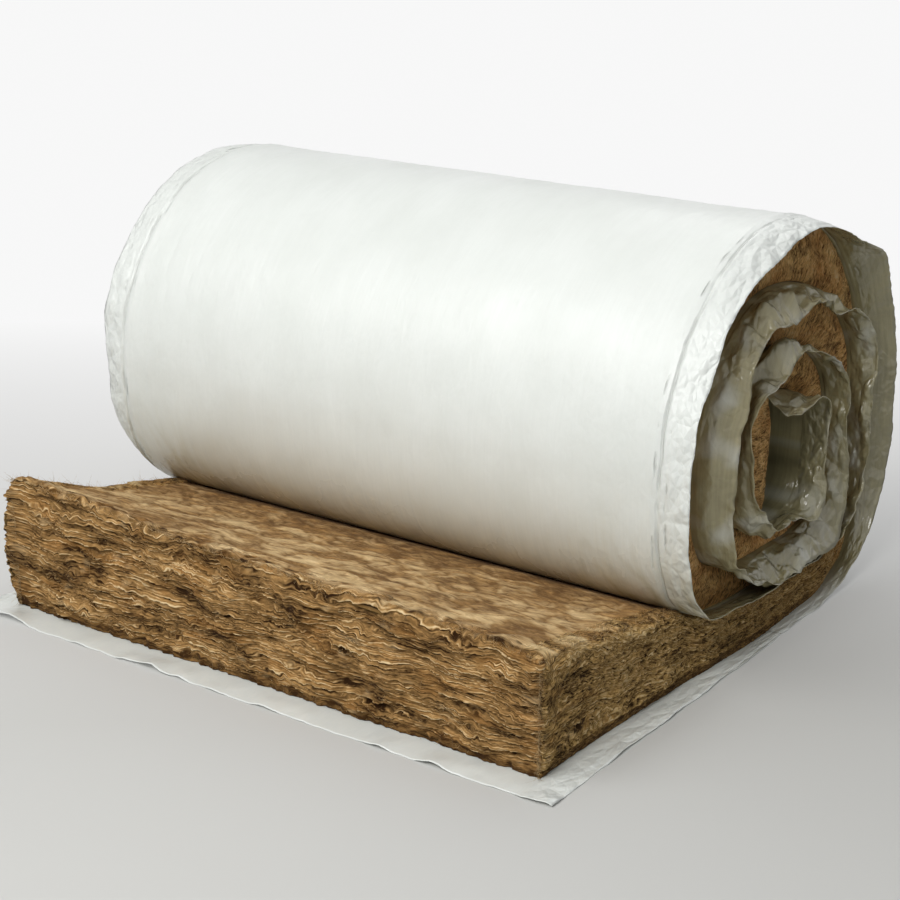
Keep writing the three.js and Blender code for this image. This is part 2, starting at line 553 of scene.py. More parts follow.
@dataclass(frozen=True)
class WoolFinish:
    """Matted mineral wool, coloured by the marks on its mesh.

    The marks are: red, its tone from the crevice colour to the crest colour; on layered
    faces it is painted lighter on crests and lips as highlight and darker in crevices as
    shade, over tone that differs at random; green, how warm it is; blue, how pale it is,
    partly a painted highlight along the lips.
    """

    name: str
    # The crevice colour is painted shade and the crest colour the lit side; the red mark runs
    # between them.
    crevice: tuple = (0.050, 0.024, 0.008)
    crest: tuple = (0.45, 0.280, 0.110)
    warm: tuple = (0.48, 0.235, 0.060)
    pale: tuple = (0.72, 0.56, 0.32)
    along: float = 45.0
    across: float = 330.0
    grain: float = 0.75
    blotch: float = 0.5
    bump: float = 0.8
    bump_depth: float = 0.0020
    pitch: float = 0.0
    coarser: tuple = (0.35, 0.3)
    tone_range: tuple = (-0.1, 1.1)
    lip_range: tuple = (0.95, 1.75)
    warm_shade: float = 0.42
    line_sets: tuple = ((1.0, 0.24, 0.16, 0.9), (0.41, 0.5, 0.30, 0.5))

    def material(self) -> bpy.types.Material:
        """Builds the node material."""
        surface = Surface(self.name)
        nodes, (marks, flat) = surface.nodes, surface.read_mesh()
        tone, warm, pale = marks
        fibres = surface.group("matted fibres", fibre_group, Along=self.along,
                               Across=self.across, Vector=flat)
        scales = (self.along * self.coarser[0], self.across * self.coarser[1], 1.0)
        coarse = nodes.noise(flat, scales)
        blotches = nodes.remap(coarse, 0.3, 0.7, -self.blotch, self.blotch)
        streak = nodes.math("ADD", fibres.outputs["Tone"], blotches)
        lit = nodes.math("MULTIPLY_ADD", nodes.math("SUBTRACT", streak, 0.5), self.grain, tone)
        if self.pitch:
            lit = nodes.math("ADD", lit, self.layer_lines(nodes, flat, tone))
        # The lightest tones go towards pale: a painted highlight along the lips.
        lip = nodes.remap(lit, *self.lip_range)
        lit = nodes.remap(lit, *self.tone_range)
        colour = nodes.mix(lit, self.crevice, self.crest)
        ruddy = nodes.mix(lit, tuple(self.warm_shade * c for c in self.warm), self.warm)
        warmth = nodes.math("MULTIPLY", warm, nodes.remap(coarse, 0.35, 0.65, 0.55, 1.0))
        paleness = nodes.math("MULTIPLY", pale, nodes.remap(streak, -0.3, 1.3, 0.45, 1.0))
        for share, other in ((warmth, ruddy), (paleness, self.pale), (lip, self.pale)):
            colour = nodes.mix(share, colour, other)
        height = nodes.math("ADD", fibres.outputs["Height"], coarse)
        return surface.finish(height, self.bump, self.bump_depth, Base_Color=colour,
                              Roughness=0.95, Specular_IOR_Level=0.05, Sheen_Weight=0.02,
                              Sheen_Roughness=0.6)

    def layer_lines(self, nodes: Nodes, flat: bpy.types.NodeSocket,
                    tone: bpy.types.NodeSocket) -> bpy.types.NodeSocket:
        """Thin pale line along each layer's lip, a painted highlight, and a thin dark one in
        each crevice, painted shade.

        The share of a layer is the flat map's V over the pitch, less its whole part.
        Two sets of layers, one finer, each have a lip place, a width and a strength.
        """
        up = nodes.add("ShaderNodeSeparateXYZ", flat).outputs[1]
        lines = 0.0
        for finer, middle, width, strength in self.line_sets:
            pitch = finer * self.pitch
            share = nodes.math("FRACT", nodes.math("DIVIDE", up, pitch))
            lip = nodes.math("ABSOLUTE", nodes.math("SUBTRACT", share, middle))
            slit = nodes.math("PINGPONG", share, 0.5)
            both = nodes.math("ADD", nodes.remap(slit, 0.0, 0.8 * width, -0.5 * strength, 0.0),
                              nodes.remap(lip, 0.0, width, 0.9 * strength, 0.0))
            worn = nodes.noise(flat, (22.0, 0.6 / pitch, 1.0), 3.0, 0.6)
            fade = nodes.remap(worn, 0.38, 0.62, 0.10, 1.3)
            lines = nodes.math("ADD", lines, nodes.math("MULTIPLY", both, fade))
        return nodes.math("MULTIPLY", lines, nodes.remap(tone, 0.0, 0.6, 0.0, 1.0))


def crinkle_group(name: str) -> bpy.types.NodeTree:
    """Group that puts out the height of fine crinkles in thin film, from its flat map.

    Long soft folds are noise. Crinkles are the distance to the nearest edge between
    cells of two sizes, which gives flat facets with sharp creases between them.
    """
    folds, fold_share = ((38.0, 9.0, 1.0), 4.0, 0.5, 0.6), 0.18
    cell_sets = (((30.0, 17.0, 1.0), 1.0), ((75.0, 48.0, 1.0), 0.32))
    cell_turn = (0.0, 0.0, 0.5)
    nodes, given, out = new_group(name, {"Vector": "Vector", "Amount": "Float"}, ("Height",))
    total = nodes.math("MULTIPLY", nodes.noise(given["Vector"], *folds), fold_share)
    for scale, share in cell_sets:
        mapping = nodes.add("ShaderNodeMapping", Vector=given["Vector"], Rotation=cell_turn,
                            Scale=scale)
        cells = nodes.add("ShaderNodeTexVoronoi", voronoi_dimensions="2D",
                          feature="DISTANCE_TO_EDGE", Vector=mapping.outputs[0], Scale=1.0)
        ridge = nodes.math("MULTIPLY", cells.outputs["Distance"], share)
        total = nodes.math("ADD", total, nodes.math("MULTIPLY", ridge, given["Amount"]))
    nodes.put(out["Height"], total)
    return nodes.tree


@dataclass(frozen=True)
class FilmFinish:
    """Thin plastic film: satin, finely crinkled, a little cloudy.

    The marks on the mesh are: red, how crinkled it is; green, how sharply it is creased
    along the wool's edges; blue, how far it turns a dusty olive, which stands partly for
    wool dust on it and wool showing through it, and partly for painted shade inside the
    roll and painted brown bounce light low on the outer turn.
    The flat map's U is the distance from the film's centre line.
    """

    name: str
    dust_and_shade: tuple
    colour: tuple = (0.83, 0.86, 0.83)
    shade: tuple = (0.75, 0.78, 0.745)
    crease_shade: tuple = (0.52, 0.54, 0.50)
    crease_mix: float = 0.3
    crease_depth: float = 0.22
    dark_dust_and_shade: float = 0.62
    dust_gloss: float = 0.14
    edge: float = 0.600
    lines: tuple = (
        (0.001, 0.0042, 7.0, 0.32), (-0.008, 0.0026, 11.0, 0.54), (0.015, 0.0026, 15.0, 0.56),
    )
    sway: float = 0.016
    roughness: float = 0.33
    gloss: float = 0.5
    bump: float = 1.0
    bump_depth: float = 0.012

    def material(self) -> bpy.types.Material:
        """Builds the node material."""
        surface = Surface(self.name)
        nodes, (marks, flat) = surface.nodes, surface.read_mesh()
        crinkled, creased, dust_and_shade = marks
        cloud = nodes.noise(flat, (7.0, 4.0, 1.0), 4.0, 0.55)
        line = nodes.noise(flat, (240.0, 6.0, 1.0), 2.0, 0.5)
        patch = nodes.noise(flat, (22.0, 14.0, 1.0), 3.0, 0.6)
        colour = nodes.mix(nodes.remap(cloud, 0.3, 0.7), self.colour, self.shade)
        colour = nodes.mix(nodes.remap(line, 0.35, 0.75, 0.0, 0.35), colour, self.shade)
        # Dusty olive, partly wool dust and partly painted shade and bounce light, varied by darker
        # streaks and patches.
        dark = tuple(self.dark_dust_and_shade * value for value in self.dust_and_shade)
        dust_and_shade_colour = nodes.mix(nodes.remap(line, 0.3, 0.7, 0.0, 0.5), self.dust_and_shade, dark)
        dust_and_shade_colour = nodes.mix(nodes.remap(patch, 0.4, 0.75, 0.0, 0.6), dust_and_shade_colour, dark)
        colour = nodes.mix(dust_and_shade, colour, dust_and_shade_colour)
        crease = self.creases(nodes, flat, creased)
        crease_mix = nodes.math("MULTIPLY", crease, self.crease_mix)
        colour = nodes.mix(crease_mix, colour, self.crease_shade)
        rough = nodes.remap(cloud, 0.25, 0.75, self.roughness - 0.06, self.roughness + 0.08)
        rough = nodes.math("MULTIPLY_ADD", dust_and_shade, -self.dust_gloss, rough)
        crinkles = surface.group("film crinkles", crinkle_group, Vector=flat, Amount=crinkled)
        height = nodes.math("MULTIPLY_ADD", crease, -self.crease_depth, crinkles.outputs["Height"])
        return surface.finish(height, self.bump, self.bump_depth, Base_Color=colour,
                              Roughness=rough, Specular_IOR_Level=self.gloss)

    def creases(self, nodes: Nodes, flat: bpy.types.NodeSocket,
                amount: bpy.types.NodeSocket) -> bpy.types.NodeSocket:
        """Thin lines along the wool's edge, broken up by noise along the run.

        Each is 1 at its own distance from the edge and falls to 0 over its width. The
        lines give each one's distance, width, noise along the run and gaps.
        """
        across = nodes.add("ShaderNodeSeparateXYZ", flat).outputs[0]
        past = nodes.math("SUBTRACT", nodes.math("ABSOLUTE", across), self.edge)
        total = 0.0
        for place, width, along, broken in self.lines:
            sway = nodes.math("SUBTRACT", nodes.noise(flat, (3.0, along, 1.0), 3.0, 0.6), 0.5)
            away = nodes.math("MULTIPLY_ADD", sway, self.sway, past)
            away = nodes.math("ABSOLUTE", nodes.math("SUBTRACT", away, place))
            line = nodes.remap(away, 0.0, width, 1.0, 0.0)
            gaps = nodes.noise(flat, (4.0, 1.7 * along, 1.0), 2.0, 0.5)
            strength = nodes.remap(gaps, broken, broken + 0.16)
            total = nodes.math("ADD", total, nodes.math("MULTIPLY", line, strength))
        return nodes.math("MULTIPLY", total, amount)


# ---- Facing film ---------------------------------------------------------------------

MILLIMETRE = 0.001


@dataclass(frozen=True)
class EndTable:
    """A size that differs at the roll's two ends and changes along the spiral.

    Each end's table has pairs of place, in quarter turns, and size.
    """

    right: tuple
    left: tuple
    softness: float
    unit: float = MILLIMETRE

    def at(self, end: End, place: Array) -> Array:
        """The size at one end of the roll."""
        table = self.right if end is End.RIGHT else self.left
        return blend_table(table, place, self.softness) * self.unit

    def over(self, right: Array, place: Array) -> Array:
        """The size for the columns of a grid, of which some are at the right end."""
        return np.where(right, self.at(End.RIGHT, place), self.at(End.LEFT, place))


# How far a tab's free edge leans out from the roll's middle.
LEAN = EndTable(
    right=(
        (-2.0, 0), (0.1, 0), (0.38, -6), (0.59, 13), (0.81, 44), (0.93, 60), (1.02, 58),
        (1.15, 53), (1.36, 48), (1.41, 54), (1.50, 22), (1.60, -6), (1.93, -16), (2.15, -34),
        (2.37, -24), (2.55, -10), (2.69, -22), (2.79, -3), (3.11, -1), (3.41, -1), (3.53, 2),
        (3.73, -27), (3.98, -29), (4.3, -22), (4.6, -18), (4.9, -4), (5.1, 10), (5.22, 18),
        (5.30, 7), (5.48, -12), (5.52, -14), (5.66, -40), (5.84, -25), (5.97, -42),
        (6.06, -54), (6.34, -34), (6.49, -29), (6.75, -54), (6.99, -42), (7.27, -27),
        (7.53, -5), (7.62, -18), (7.92, 26), (8.0, 42), (8.08, 50), (8.2, 54), (8.43, 62),
        (8.65, 36), (8.88, 28), (9.0, -2), (9.14, 1), (9.41, 1), (9.6, -10), (9.83, -16),
        (10.29, -24), (10.48, -12), (10.68, 26), (10.78, 32), (10.99, 8), (11.18, 3),
        (11.45, -29), (11.93, -17), (12.3, 26), (12.6, 10), (12.95, -8), (13.3, -6),
        (13.55, -16), (13.8, -32), (14.0, -36),
    ),
    left=(
        (-2.0, 0), (0.0, 0), (0.5, 12), (1.0, 40), (1.4, 30), (1.8, -2), (2.3, -8), (2.8, -10),
        (3.1, -22), (3.5, -46), (3.8, -40), (4.2, -10), (4.8, 20), (5.3, 12), (5.7, -18),
        (6.2, -40), (6.8, -34), (7.3, -20), (7.6, 8), (8.3, 34), (8.9, 24), (9.5, -10),
        (10.2, -26), (10.8, 12), (11.4, -18), (12.2, 14), (13.0, -8), (14.0, 20),
    ),
    softness=0.022,
)
# How far the wool has spread past its width.
BULGE = EndTable(
    right=(
        (-2.0, 0), (-1.0, 0), (-0.51, 12), (-0.31, 26), (-0.16, 32), (0.1, 33), (0.5, 28),
        (0.9, 14), (1.25, 2), (1.6, 0), (3.3, 0), (3.7, -10), (4.1, -6), (4.6, 4), (5.0, 12),
        (5.3, 10), (5.6, 0), (7.2, 0), (7.7, -8), (8.1, 6), (8.5, 14), (9.0, 8), (9.5, 0),
        (14.0, 0),
    ),
    left=(
        (-2.0, 28), (-1.15, 28), (-0.9, 18), (-0.3, 14), (0.3, 16), (0.8, 26), (1.4, 34),
        (3.1, 34), (3.6, 20), (4.1, 4), (5.0, 0), (14.0, 0),
    ),
    softness=0.08,
)
# How much further out a tab's free edge lies, where the wool has spread.
SPREAD = EndTable(
    right=(
        (-2.0, 0), (14.0, 0),
    ),
    left=(
        (-2.0, 0), (0.3, 0), (0.9, 36), (3.2, 38), (3.7, 22), (4.2, 4), (14.0, 0),
    ),
    softness=0.1,
)
# How crumpled a tab is.
SLACK = EndTable(
    right=(
        (0, 0.6), (3.6, 0.6), (4.2, 0.8), (4.8, 0.9), (5.4, 1.2), (5.7, 1.8), (6.3, 2.0),
        (6.5, 1.0), (6.65, 0.35), (7.35, 0.35), (7.6, 1.0), (8.0, 1.6), (8.5, 1.3), (9.0, 0.7),
        (9.5, 0.9), (9.8, 1.7), (10.4, 1.9), (10.7, 1.1), (11.3, 0.6), (11.7, 1.2),
        (12.6, 1.3), (13.1, 0.8), (13.6, 1.3), (14.0, 1.6),
    ),
    left=(
        (-2.0, 1), (14.0, 1),
    ),
    softness=0.05, unit=1.0,
)
# How far a tab's free edge curls out at the right end.
RIGHT_CURL = (
    (0, 0), (5.2, 0), (5.5, 5), (6.1, 7), (6.5, 7), (6.9, 3), (7.6, 2), (8.0, 0), (9.3, 0),
    (9.7, 5), (10.4, 8), (10.8, 3), (11.6, 4), (12.2, 2), (13.2, 0), (13.5, 6), (14.0, 7),
)


@dataclass(frozen=True)
class Stretch:
    """One stretch of the film that is made as a mesh of its own.

    Rows are distances along the run. Each tab has several finer rows to one row.
    """

    name: str
    rows: Array
    spacing: float
    inner_every: int
    tuck: float
    finer: int = 2
    tab_columns: int = 15


@dataclass(frozen=True)
class TabFacets:
    """Flat facets that crumple the tabs.

    Attributes:
        length: Length of a facet along the run.
        across: How many lie across a tab.
        slant: How many lengths they lean along the run from the wool to the free edge.
        outer: Their height on the outer turn.
        inner: Height that is added on the turns inside it.
        row: Rows of the noise that lie between the roll's middle and each end.
        cut: Where the noise is cut.
    """

    length: float
    across: float
    slant: float
    outer: float
    inner: float
    row: float
    cut: tuple = (0.0, 0.0)

    def over(self, noise: Noise, s: Array, tab: Array, end: Array) -> Array:
        """The facets over a grid, from about -1 to 1."""
        return noise.creased(s / self.length + self.slant * tab + self.cut[0],
                             tab * self.across + end * self.row + self.cut[1])


@dataclass
class FilmGrid:
    """Places on the film, as rows along the run x columns across it.

    Attributes:
        s: Distance along the run.
        p: Place in quarter turns.
        share: Place across the wool, from -1 to 1.
        tab: Place across a tab, 0 at the wool and 1 at the free edge.
        end: -1 or 1 for the end of the roll that the column is nearer to.
    """

    s: Array
    p: Array
    share: Array
    tab: Array
    end: Array

    def __post_init__(self) -> None:
        """Works out what the film's formulas share."""
        self.right = self.end > 0
        self.wound = smooth_step(0.05, 0.4, self.p)
        self.inside = smooth_step(3.7, 4.4, self.p)
        self.slack = SLACK.over(self.right, self.p)
        self.ragged, self.folds, self.crumple, self.waves = map(Noise, (11, 12, 13, 14))

    def lay_across(self, section: Section) -> None:
        """Sets x and what follows from it.

        The wool's edge and the film's free edge wander, each in its own way.

        Args:
            section: The roll's section, with the widths of the wool and the tabs.
        """
        ragged, s, end = self.ragged, self.s, self.end
        edge = section.half_width + section.tab + SPREAD.over(self.right, self.p)
        edge = edge + 0.0035 * ragged.layered(s / 0.09, end * 3.3, 2)
        notched = 0.0007 + 0.0016 * bell(self.p - 1.6, 0.7)
        edge = edge + notched * ragged.layered(s / 0.016, end * 9.1, 2)
        wool = section.half_width + BULGE.over(self.right, self.p)
        self.crease = wool + 0.002 * ragged.at(s / 0.09, end * 21.0)
        on_tab = end * (self.crease + self.tab * (edge - self.crease))
        self.x = np.where(self.tab > 0, on_tab, self.share * self.crease)
        self.across = np.abs(self.x)
        self.near_end = smooth_step(0.30, 0.58, self.across)
        self.outer = smooth_step(0.3, 0.9, self.p) * (1.0 - smooth_step(3.3, 3.7, self.p))


@dataclass
class FacingFilm:
    """The plastic film: a thin closed sheet along the floor and round the spiral."""

    section: Section
    thickness: float = 0.0008
    split_place: float = 4.45
    soft: Wave = Wave(0.0020, 0.28, 0.22)
    streak_height: float = 0.00050
    diagonal_height: float = 0.0008
    ridge: tuple = (-0.012, 0.009, 0.0016)
    groove: tuple = (0.001, 0.0032, 0.0042)
    second_groove: tuple = (0.013, 0.0040, 0.0022)
    facet: TabFacets = TabFacets(0.034, 2.3, -0.8, 0.0026, 0.0060, 5, (9, 11))
    other_facets: tuple = (
        TabFacets(0.105, 0.8, 0.55, 0.0, 0.0110, 17, (50, 0)),
        TabFacets(0.062, 1.3, 0.5, 0.0032, 0.0100, 7),
        TabFacets(0.017, 4.2, 0.0, 0.0016, 0.0024, 3, (30, 0)),
    )
    edge_wave: float = 0.0025
    left_curl: float = 0.004
    front_heights: tuple = (0.010, 0.006)
    side_heights: tuple = (0.005, 0.004)
    # Dusty olive colours of the two faces: partly wool dust, partly painted shade and bounce
    # light.
    white_dust_and_shade: tuple = (0.48, 0.43, 0.255)
    inner_dust_and_shade: tuple = (0.36, 0.325, 0.18)

    def surface(self, length: Array, share: Array, tab: Array, end: Array,
                wool_side: bool = False) -> tuple[Array, Array, Array]:
        """The film's outer face as a grid.

        A point sits on the section's run, at a share of the wool's width or out on a
        tab, and is moved along the outward normal: by the tab's lean, which grows with
        the distance from the wool, and by wrinkles, which are ridged noise that runs
        mostly along the run.

        Args:
            length: Distance along the run for each row.
            share: Place across the wool for each column, from -1 to 1.
            tab: Place across the tab for each column, 0 at the wool and 1 at the edge.
            end: -1 or 1 for the end of the roll that the column is nearer to.
            wool_side: True where the marks are for the face that looks at the wool.
        Returns:
            Points, flat map and marks, each as rows x columns x values.
        """
        section = self.section
        point, normal, place = section.film_run().at(length)
        at = FilmGrid(length[:, None], place[:, None], share[None, :], tab[None, :], end[None, :])
        at.lay_across(section)
        facet = self.facet.over(at.crumple, at.s, at.tab, at.end)
        streak, lift = self.wrinkles(at)
        creased, crease_lift = self.creases(at)
        lift = lift + crease_lift + self.tab_lift(at, facet)

        y = point[:, 0, None] + normal[:, 0, None] * lift
        z = point[:, 1, None] + normal[:, 1, None] * lift
        x = at.x + at.end * at.inside * 0.003 * at.tab**2 * facet
        on_floor = 1.0 - smooth_step(-0.05, 0.25, at.p)
        z = np.maximum(z + on_floor * self.floor_ripples(x, at.s, at.tab, at.end), 0.0)
        torn = 0.003 * at.ragged.layered(x / 0.05, x * 0 + 77.0, 3)
        torn = torn + 0.0012 * at.ragged.at(x / 0.012, x * 0 + 5)
        y = y + torn * (1 - smooth_step(0.0, 0.03, at.s))
        points = np.stack([x + 0 * y, y, z], axis=-1)
        on_tab = at.end * (section.half_width + at.tab * section.tab)
        out = np.where(at.tab > 0, on_tab, at.share * section.half_width)
        uv = np.stack([out + 0 * y, at.s + 0 * y], axis=-1)
        return points, uv, self.marks(at, streak, creased, wool_side)

    def wrinkles(self, at: FilmGrid) -> tuple[Array, Array]:
        """Streaks along the run, and the relief of the film over the wool.

        Soft waves, streaks that slant a little and gather near the ends and over the
        top, and patches of diagonal folds.
        """
        x, s, waves = at.x, at.s, at.waves
        over = bell(at.p - 1.95, 0.55)
        slant = (s + 0.35 * x) / 0.20
        streak = at.folds.ridged(x / 0.034 + 1.5 * waves.at(x / 0.2, s / 0.2), slant)
        streak = np.clip(streak, -0.3, 1) ** 2 * (0.25 + at.near_end + over)
        diagonal = at.folds.ridged((x - 0.9 * s) / 0.022 + 9, (s + 0.9 * x) / 0.13)
        patches = np.clip(waves.at(x / 0.13 + 5, s / 0.13), 0, 1)
        diagonal = np.clip(diagonal, 0, 1) ** 2 * patches
        lift = self.soft.over(waves, x, s) * (1 - 0.5 * at.near_end)
        lift = lift + self.streak_height * streak
        lift = at.outer * (lift + self.diagonal_height * (over + 0.3) * diagonal)
        return streak, lift * (1 - smooth_step(0.0, 0.4, at.tab))

    def creases(self, at: FilmGrid) -> tuple[Array, Array]:
        """Where the film is creased along the wool's edge, and the creases' relief.

        A ridge before the edge, a groove at it and a broken one past it, each a bell
        with its distance past the edge, its width and its height.
        """
        ridge, groove, second = (
            height * bell(at.across - at.crease - place, width)
            for place, width, height in (self.ridge, self.groove, self.second_groove)
        )
        broken = np.clip(0.7 + 0.8 * at.ragged.at(at.s / 0.13, at.end * 31.0), 0, 1)
        creased = at.wound * (1.0 - smooth_step(3.8, 4.3, at.p)) * smooth_step(1.0, 1.7, at.p)
        return creased, creased * (ridge - groove - broken * second)

    def tab_lift(self, at: FilmGrid, facet: Array) -> Array:
        """The relief of the tabs: facets, waves and a curl at the free edge, and the lean."""
        crumpled = (self.facet.outer + at.inside * self.facet.inner) * facet
        for kind in self.other_facets:
            height = kind.outer + at.inside * kind.inner
            crumpled = crumpled + height * kind.over(at.crumple, at.s, at.tab, at.end)
        edge_wave = self.edge_wave * at.waves.layered(at.s / 0.12, at.end * 5.0 + 40.0, 2)
        calm = 1.0 - 0.6 * smooth_step(0.70, 0.95, at.tab)
        lift = at.tab**0.7 * calm * crumpled * at.slack + at.tab**1.5 * edge_wave
        right_curl = blend_table(RIGHT_CURL, at.p, 0.05) * MILLIMETRE
        curl = np.where(at.right, right_curl, self.left_curl * at.inside)
        curl = curl * np.clip((at.tab - 0.80) / 0.20, 0, 1) ** 1.3
        kinked = 0.6 * at.inside * np.clip((at.tab - 0.45) / 0.55, 0, 1)
        lean = at.tab**1.25 * (1 - 0.6 * at.inside) + kinked
        return at.wound * lift + curl + LEAN.over(at.right, at.p) * lean

    @staticmethod
    def marks(at: FilmGrid, streak: Array, creased: Array, wool_side: bool) -> Array:
        """How crinkled and creased the film is, and how far it turns a dusty olive.

        On the inner turns the olive stands for wool that shows through or lies on it and
        for painted shade inside the roll, apart from lighter patches. Low on the outer turn
        it is painted brown bounce light and shade from the wool below. On the face towards
        the wool it darkens the whole wound part, partly as wool on it, partly as painted shade.
        """
        taut = at.near_end * at.outer
        crinkled = 0.03 + 0.05 * taut + 0.62 * at.tab**0.5 * (1 - at.inside)
        crinkled = crinkled + at.inside * np.clip(0.20 + 0.80 * at.slack, 0, 1) * at.tab**0.3
        # Painted brown bounce light and shade low on the outer turn, where the film faces the wool
        # below.
        low = smooth_step(2.92, 3.55, at.p) * (1 - at.inside) * (0.55 + 0.30 * streak)
        # Wound wool side and inner turns darken: partly wool on and through the film, partly
        # painted shade inside the roll.
        dust_and_shade = smooth_step(0.0, 0.45, at.p) if wool_side else at.inside + low
        lighter_patches = at.folds.layered(at.s / 0.075 + 20, at.tab * 1.1 + at.end * 13, 2) - 0.05
        dust_and_shade = dust_and_shade * (1.0 - 0.55 * np.clip(lighter_patches, 0, 1) * at.inside)
        flat = 0 * (crinkled + dust_and_shade)
        return np.stack([np.clip(crinkled, 0, 1) + flat, creased + flat, dust_and_shade + flat], axis=-1)

    def floor_ripples(self, x: Array, s: Array, tab: Array, end: Array) -> Array:
        """Height of the film above the floor along its front and side margins.

        The front margin rises towards its edge in a few soft waves and sharp tents;
        the side margins rise less, in longer waves.
        """
        waves, tents = Noise(15), Noise(16)
        out = 1.0 - smooth_step(0.0, 1.15 * self.section.cut_margin, s)
        wave = np.clip(waves.layered(x / 0.13 + 30, s / 0.3, 3) + 0.1, 0, 1)
        tent = np.clip(tents.ridged((x + 0.5 * s) / 0.11, s / 0.4) - 0.5, 0, 1) / 0.5
        wave_height, tent_height = self.front_heights
        front = (wave_height * wave + tent_height * tent * wave) * out**1.3
        side = np.clip(waves.layered(s / 0.14 + 60, end * 4.0, 2), 0, 1) * tab**1.4
        fold = np.clip(tents.ridged(s / 0.30 + tab, tab * 1.5 + 20) - 0.5, 0, 1) * tab
        side_height, fold_height = self.side_heights
        return np.maximum(front, side_height * side + fold_height * fold)

    def grid(self, shell: Shell, rows: Array, columns: tuple, depth: float,
             wool_side: bool) -> Array:
        """Adds one grid of film points, set behind the outer face by a depth."""
        points, uv, marks = self.surface(rows, *columns, wool_side)
        return shell.add(points - grid_normals(points) * depth, uv, marks)

    def face(self, shell: Shell, part: Stretch, share: Array, slot: int, flip: bool,
             depth: tuple) -> tuple:
        """One face of a stretch: both tabs on fine rows, the middle on coarse rows.

        The middle's outermost columns are every so many points of the tabs' creases,
        and its outermost cells take in the crease points between as extra corners.

        Args:
            shell: The mesh that is being put together.
            part: The stretch.
            share: Places of the middle's columns.
            slot: Material slot.
            flip: True for the face that looks at the wool.
            depth: How far behind the outer face the tabs and the middle lie.
        Returns:
            The indices of the left tab, the middle and the right tab.
        """
        steps = np.arange(0, (len(part.rows) - 1) * part.finer + 1)
        fine = np.interp(steps / part.finer, np.arange(len(part.rows)), part.rows)
        out = np.linspace(0.0, 1.0, part.tab_columns + 1) ** 1.15
        ones = np.ones_like(out)
        left = self.grid(shell, fine, (-ones, out[::-1], -ones), depth[0], flip)
        right = self.grid(shell, fine, (ones, out, ones), depth[0], flip)
        inner = share[1:-1]
        columns = (inner, 0 * inner, np.where(inner < 0, -1.0, 1.0))
        middle = self.grid(shell, part.rows, columns, depth[1], flip)
        for grid in (left, middle, right):
            shell.quads(grid, slot, flip)
        coarse = slice(None, None, part.finer)
        for crease, near, turn in ((left[:, -1], middle[:, 0], flip),
                                   (right[:, 0], middle[:, -1], not flip)):
            between = [crease[step:len(crease) - part.finer + step:part.finer]
                       for step in range(part.finer + 1)]
            cells = np.stack([near[1:], near[:-1], *between], axis=-1)
            cells = cells[:, ::-1] if turn else cells
            shell.faces.extend(cells.tolist())
            shell.slots.extend([slot] * len(cells))
        whole = np.concatenate([left[coarse], middle, right[coarse]], axis=1)
        return left, whole, right

    def make(self, part: Stretch, materials: list) -> bpy.types.Object:
        """One stretch of film as a closed thin shell.

        The outer face has every column. The inner face lies one thickness behind it on
        the tabs, where it shows, and deeper behind the wool's width, where it doesn't
        and has few columns.
        """
        steps = math.ceil(2 * self.section.half_width / part.spacing)
        steps = part.inner_every * math.ceil(steps / part.inner_every)
        share = np.linspace(-1.0, 1.0, steps + 1)
        shell = Shell()
        out_left, outer, out_right = self.face(shell, part, share, 0, False, (0.0, 0.0))
        few, depths = share[::part.inner_every], (self.thickness, part.tuck)
        in_left, inner, in_right = self.face(shell, part, few, 1, True, depths)
        shell.quads(np.stack([out_left[:, 0], in_left[:, 0]], axis=1), 0, flip=True)
        shell.quads(np.stack([out_right[:, -1], in_right[:, -1]], axis=1), 0)
        tabs, total = part.tab_columns, outer.shape[1]
        kept = [*range(tabs), *range(tabs, total - tabs, part.inner_every),
                *range(total - tabs, total)]
        for row, flip in ((0, False), (-1, True)):
            for cell, (a, b) in enumerate(zip(kept[:-1], kept[1:])):
                ring = [*outer[row, a:b + 1], inner[row, cell + 1], inner[row, cell]]
                shell.polygon(ring, 0, flip=flip)
        return shell.make(part.name, materials)

    def build(self) -> list[bpy.types.Object]:
        """Makes the free end, the outer turn and the wound turns inside it."""
        white = FilmFinish("white film", dust_and_shade=self.white_dust_and_shade).material()
        inner = FilmFinish("film wool side", dust_and_shade=self.inner_dust_and_shade, gloss=0.8).material()
        run, margin = self.section.film_run(), self.section.cut_margin
        under, turned, split = map(run.length_at, (0.0, 3.5, self.split_place))
        free_end = spaced((0.0, margin, 0.005), (margin, under, 0.014))
        outer_turn = spaced((under, turned, 0.0086), (turned, split, 0.010))
        inner_turns = spaced((split, run.length[-1], 0.0056))
        stretches = (
            Stretch("facing_film_free_end", free_end, 0.0098, 1, self.thickness),
            Stretch("facing_film_outer_turn", outer_turn, 0.0086, 15, 0.005),
            Stretch("facing_film_inner_turns", inner_turns, 0.2, 1, self.thickness),
        )
        return [self.make(part, [white, inner]) for part in stretches]

    def declare(self, pieces: list[bpy.types.Object]) -> None:
        run = self.section.film_run()
        ends = [0.0, run.length_at(0.0), run.length_at(self.split_place), run.length[-1]]
        for piece, start, stop in zip(pieces, ends[:-1], ends[1:]):
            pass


# ---- Wool ----------------------------------------------------------------------------


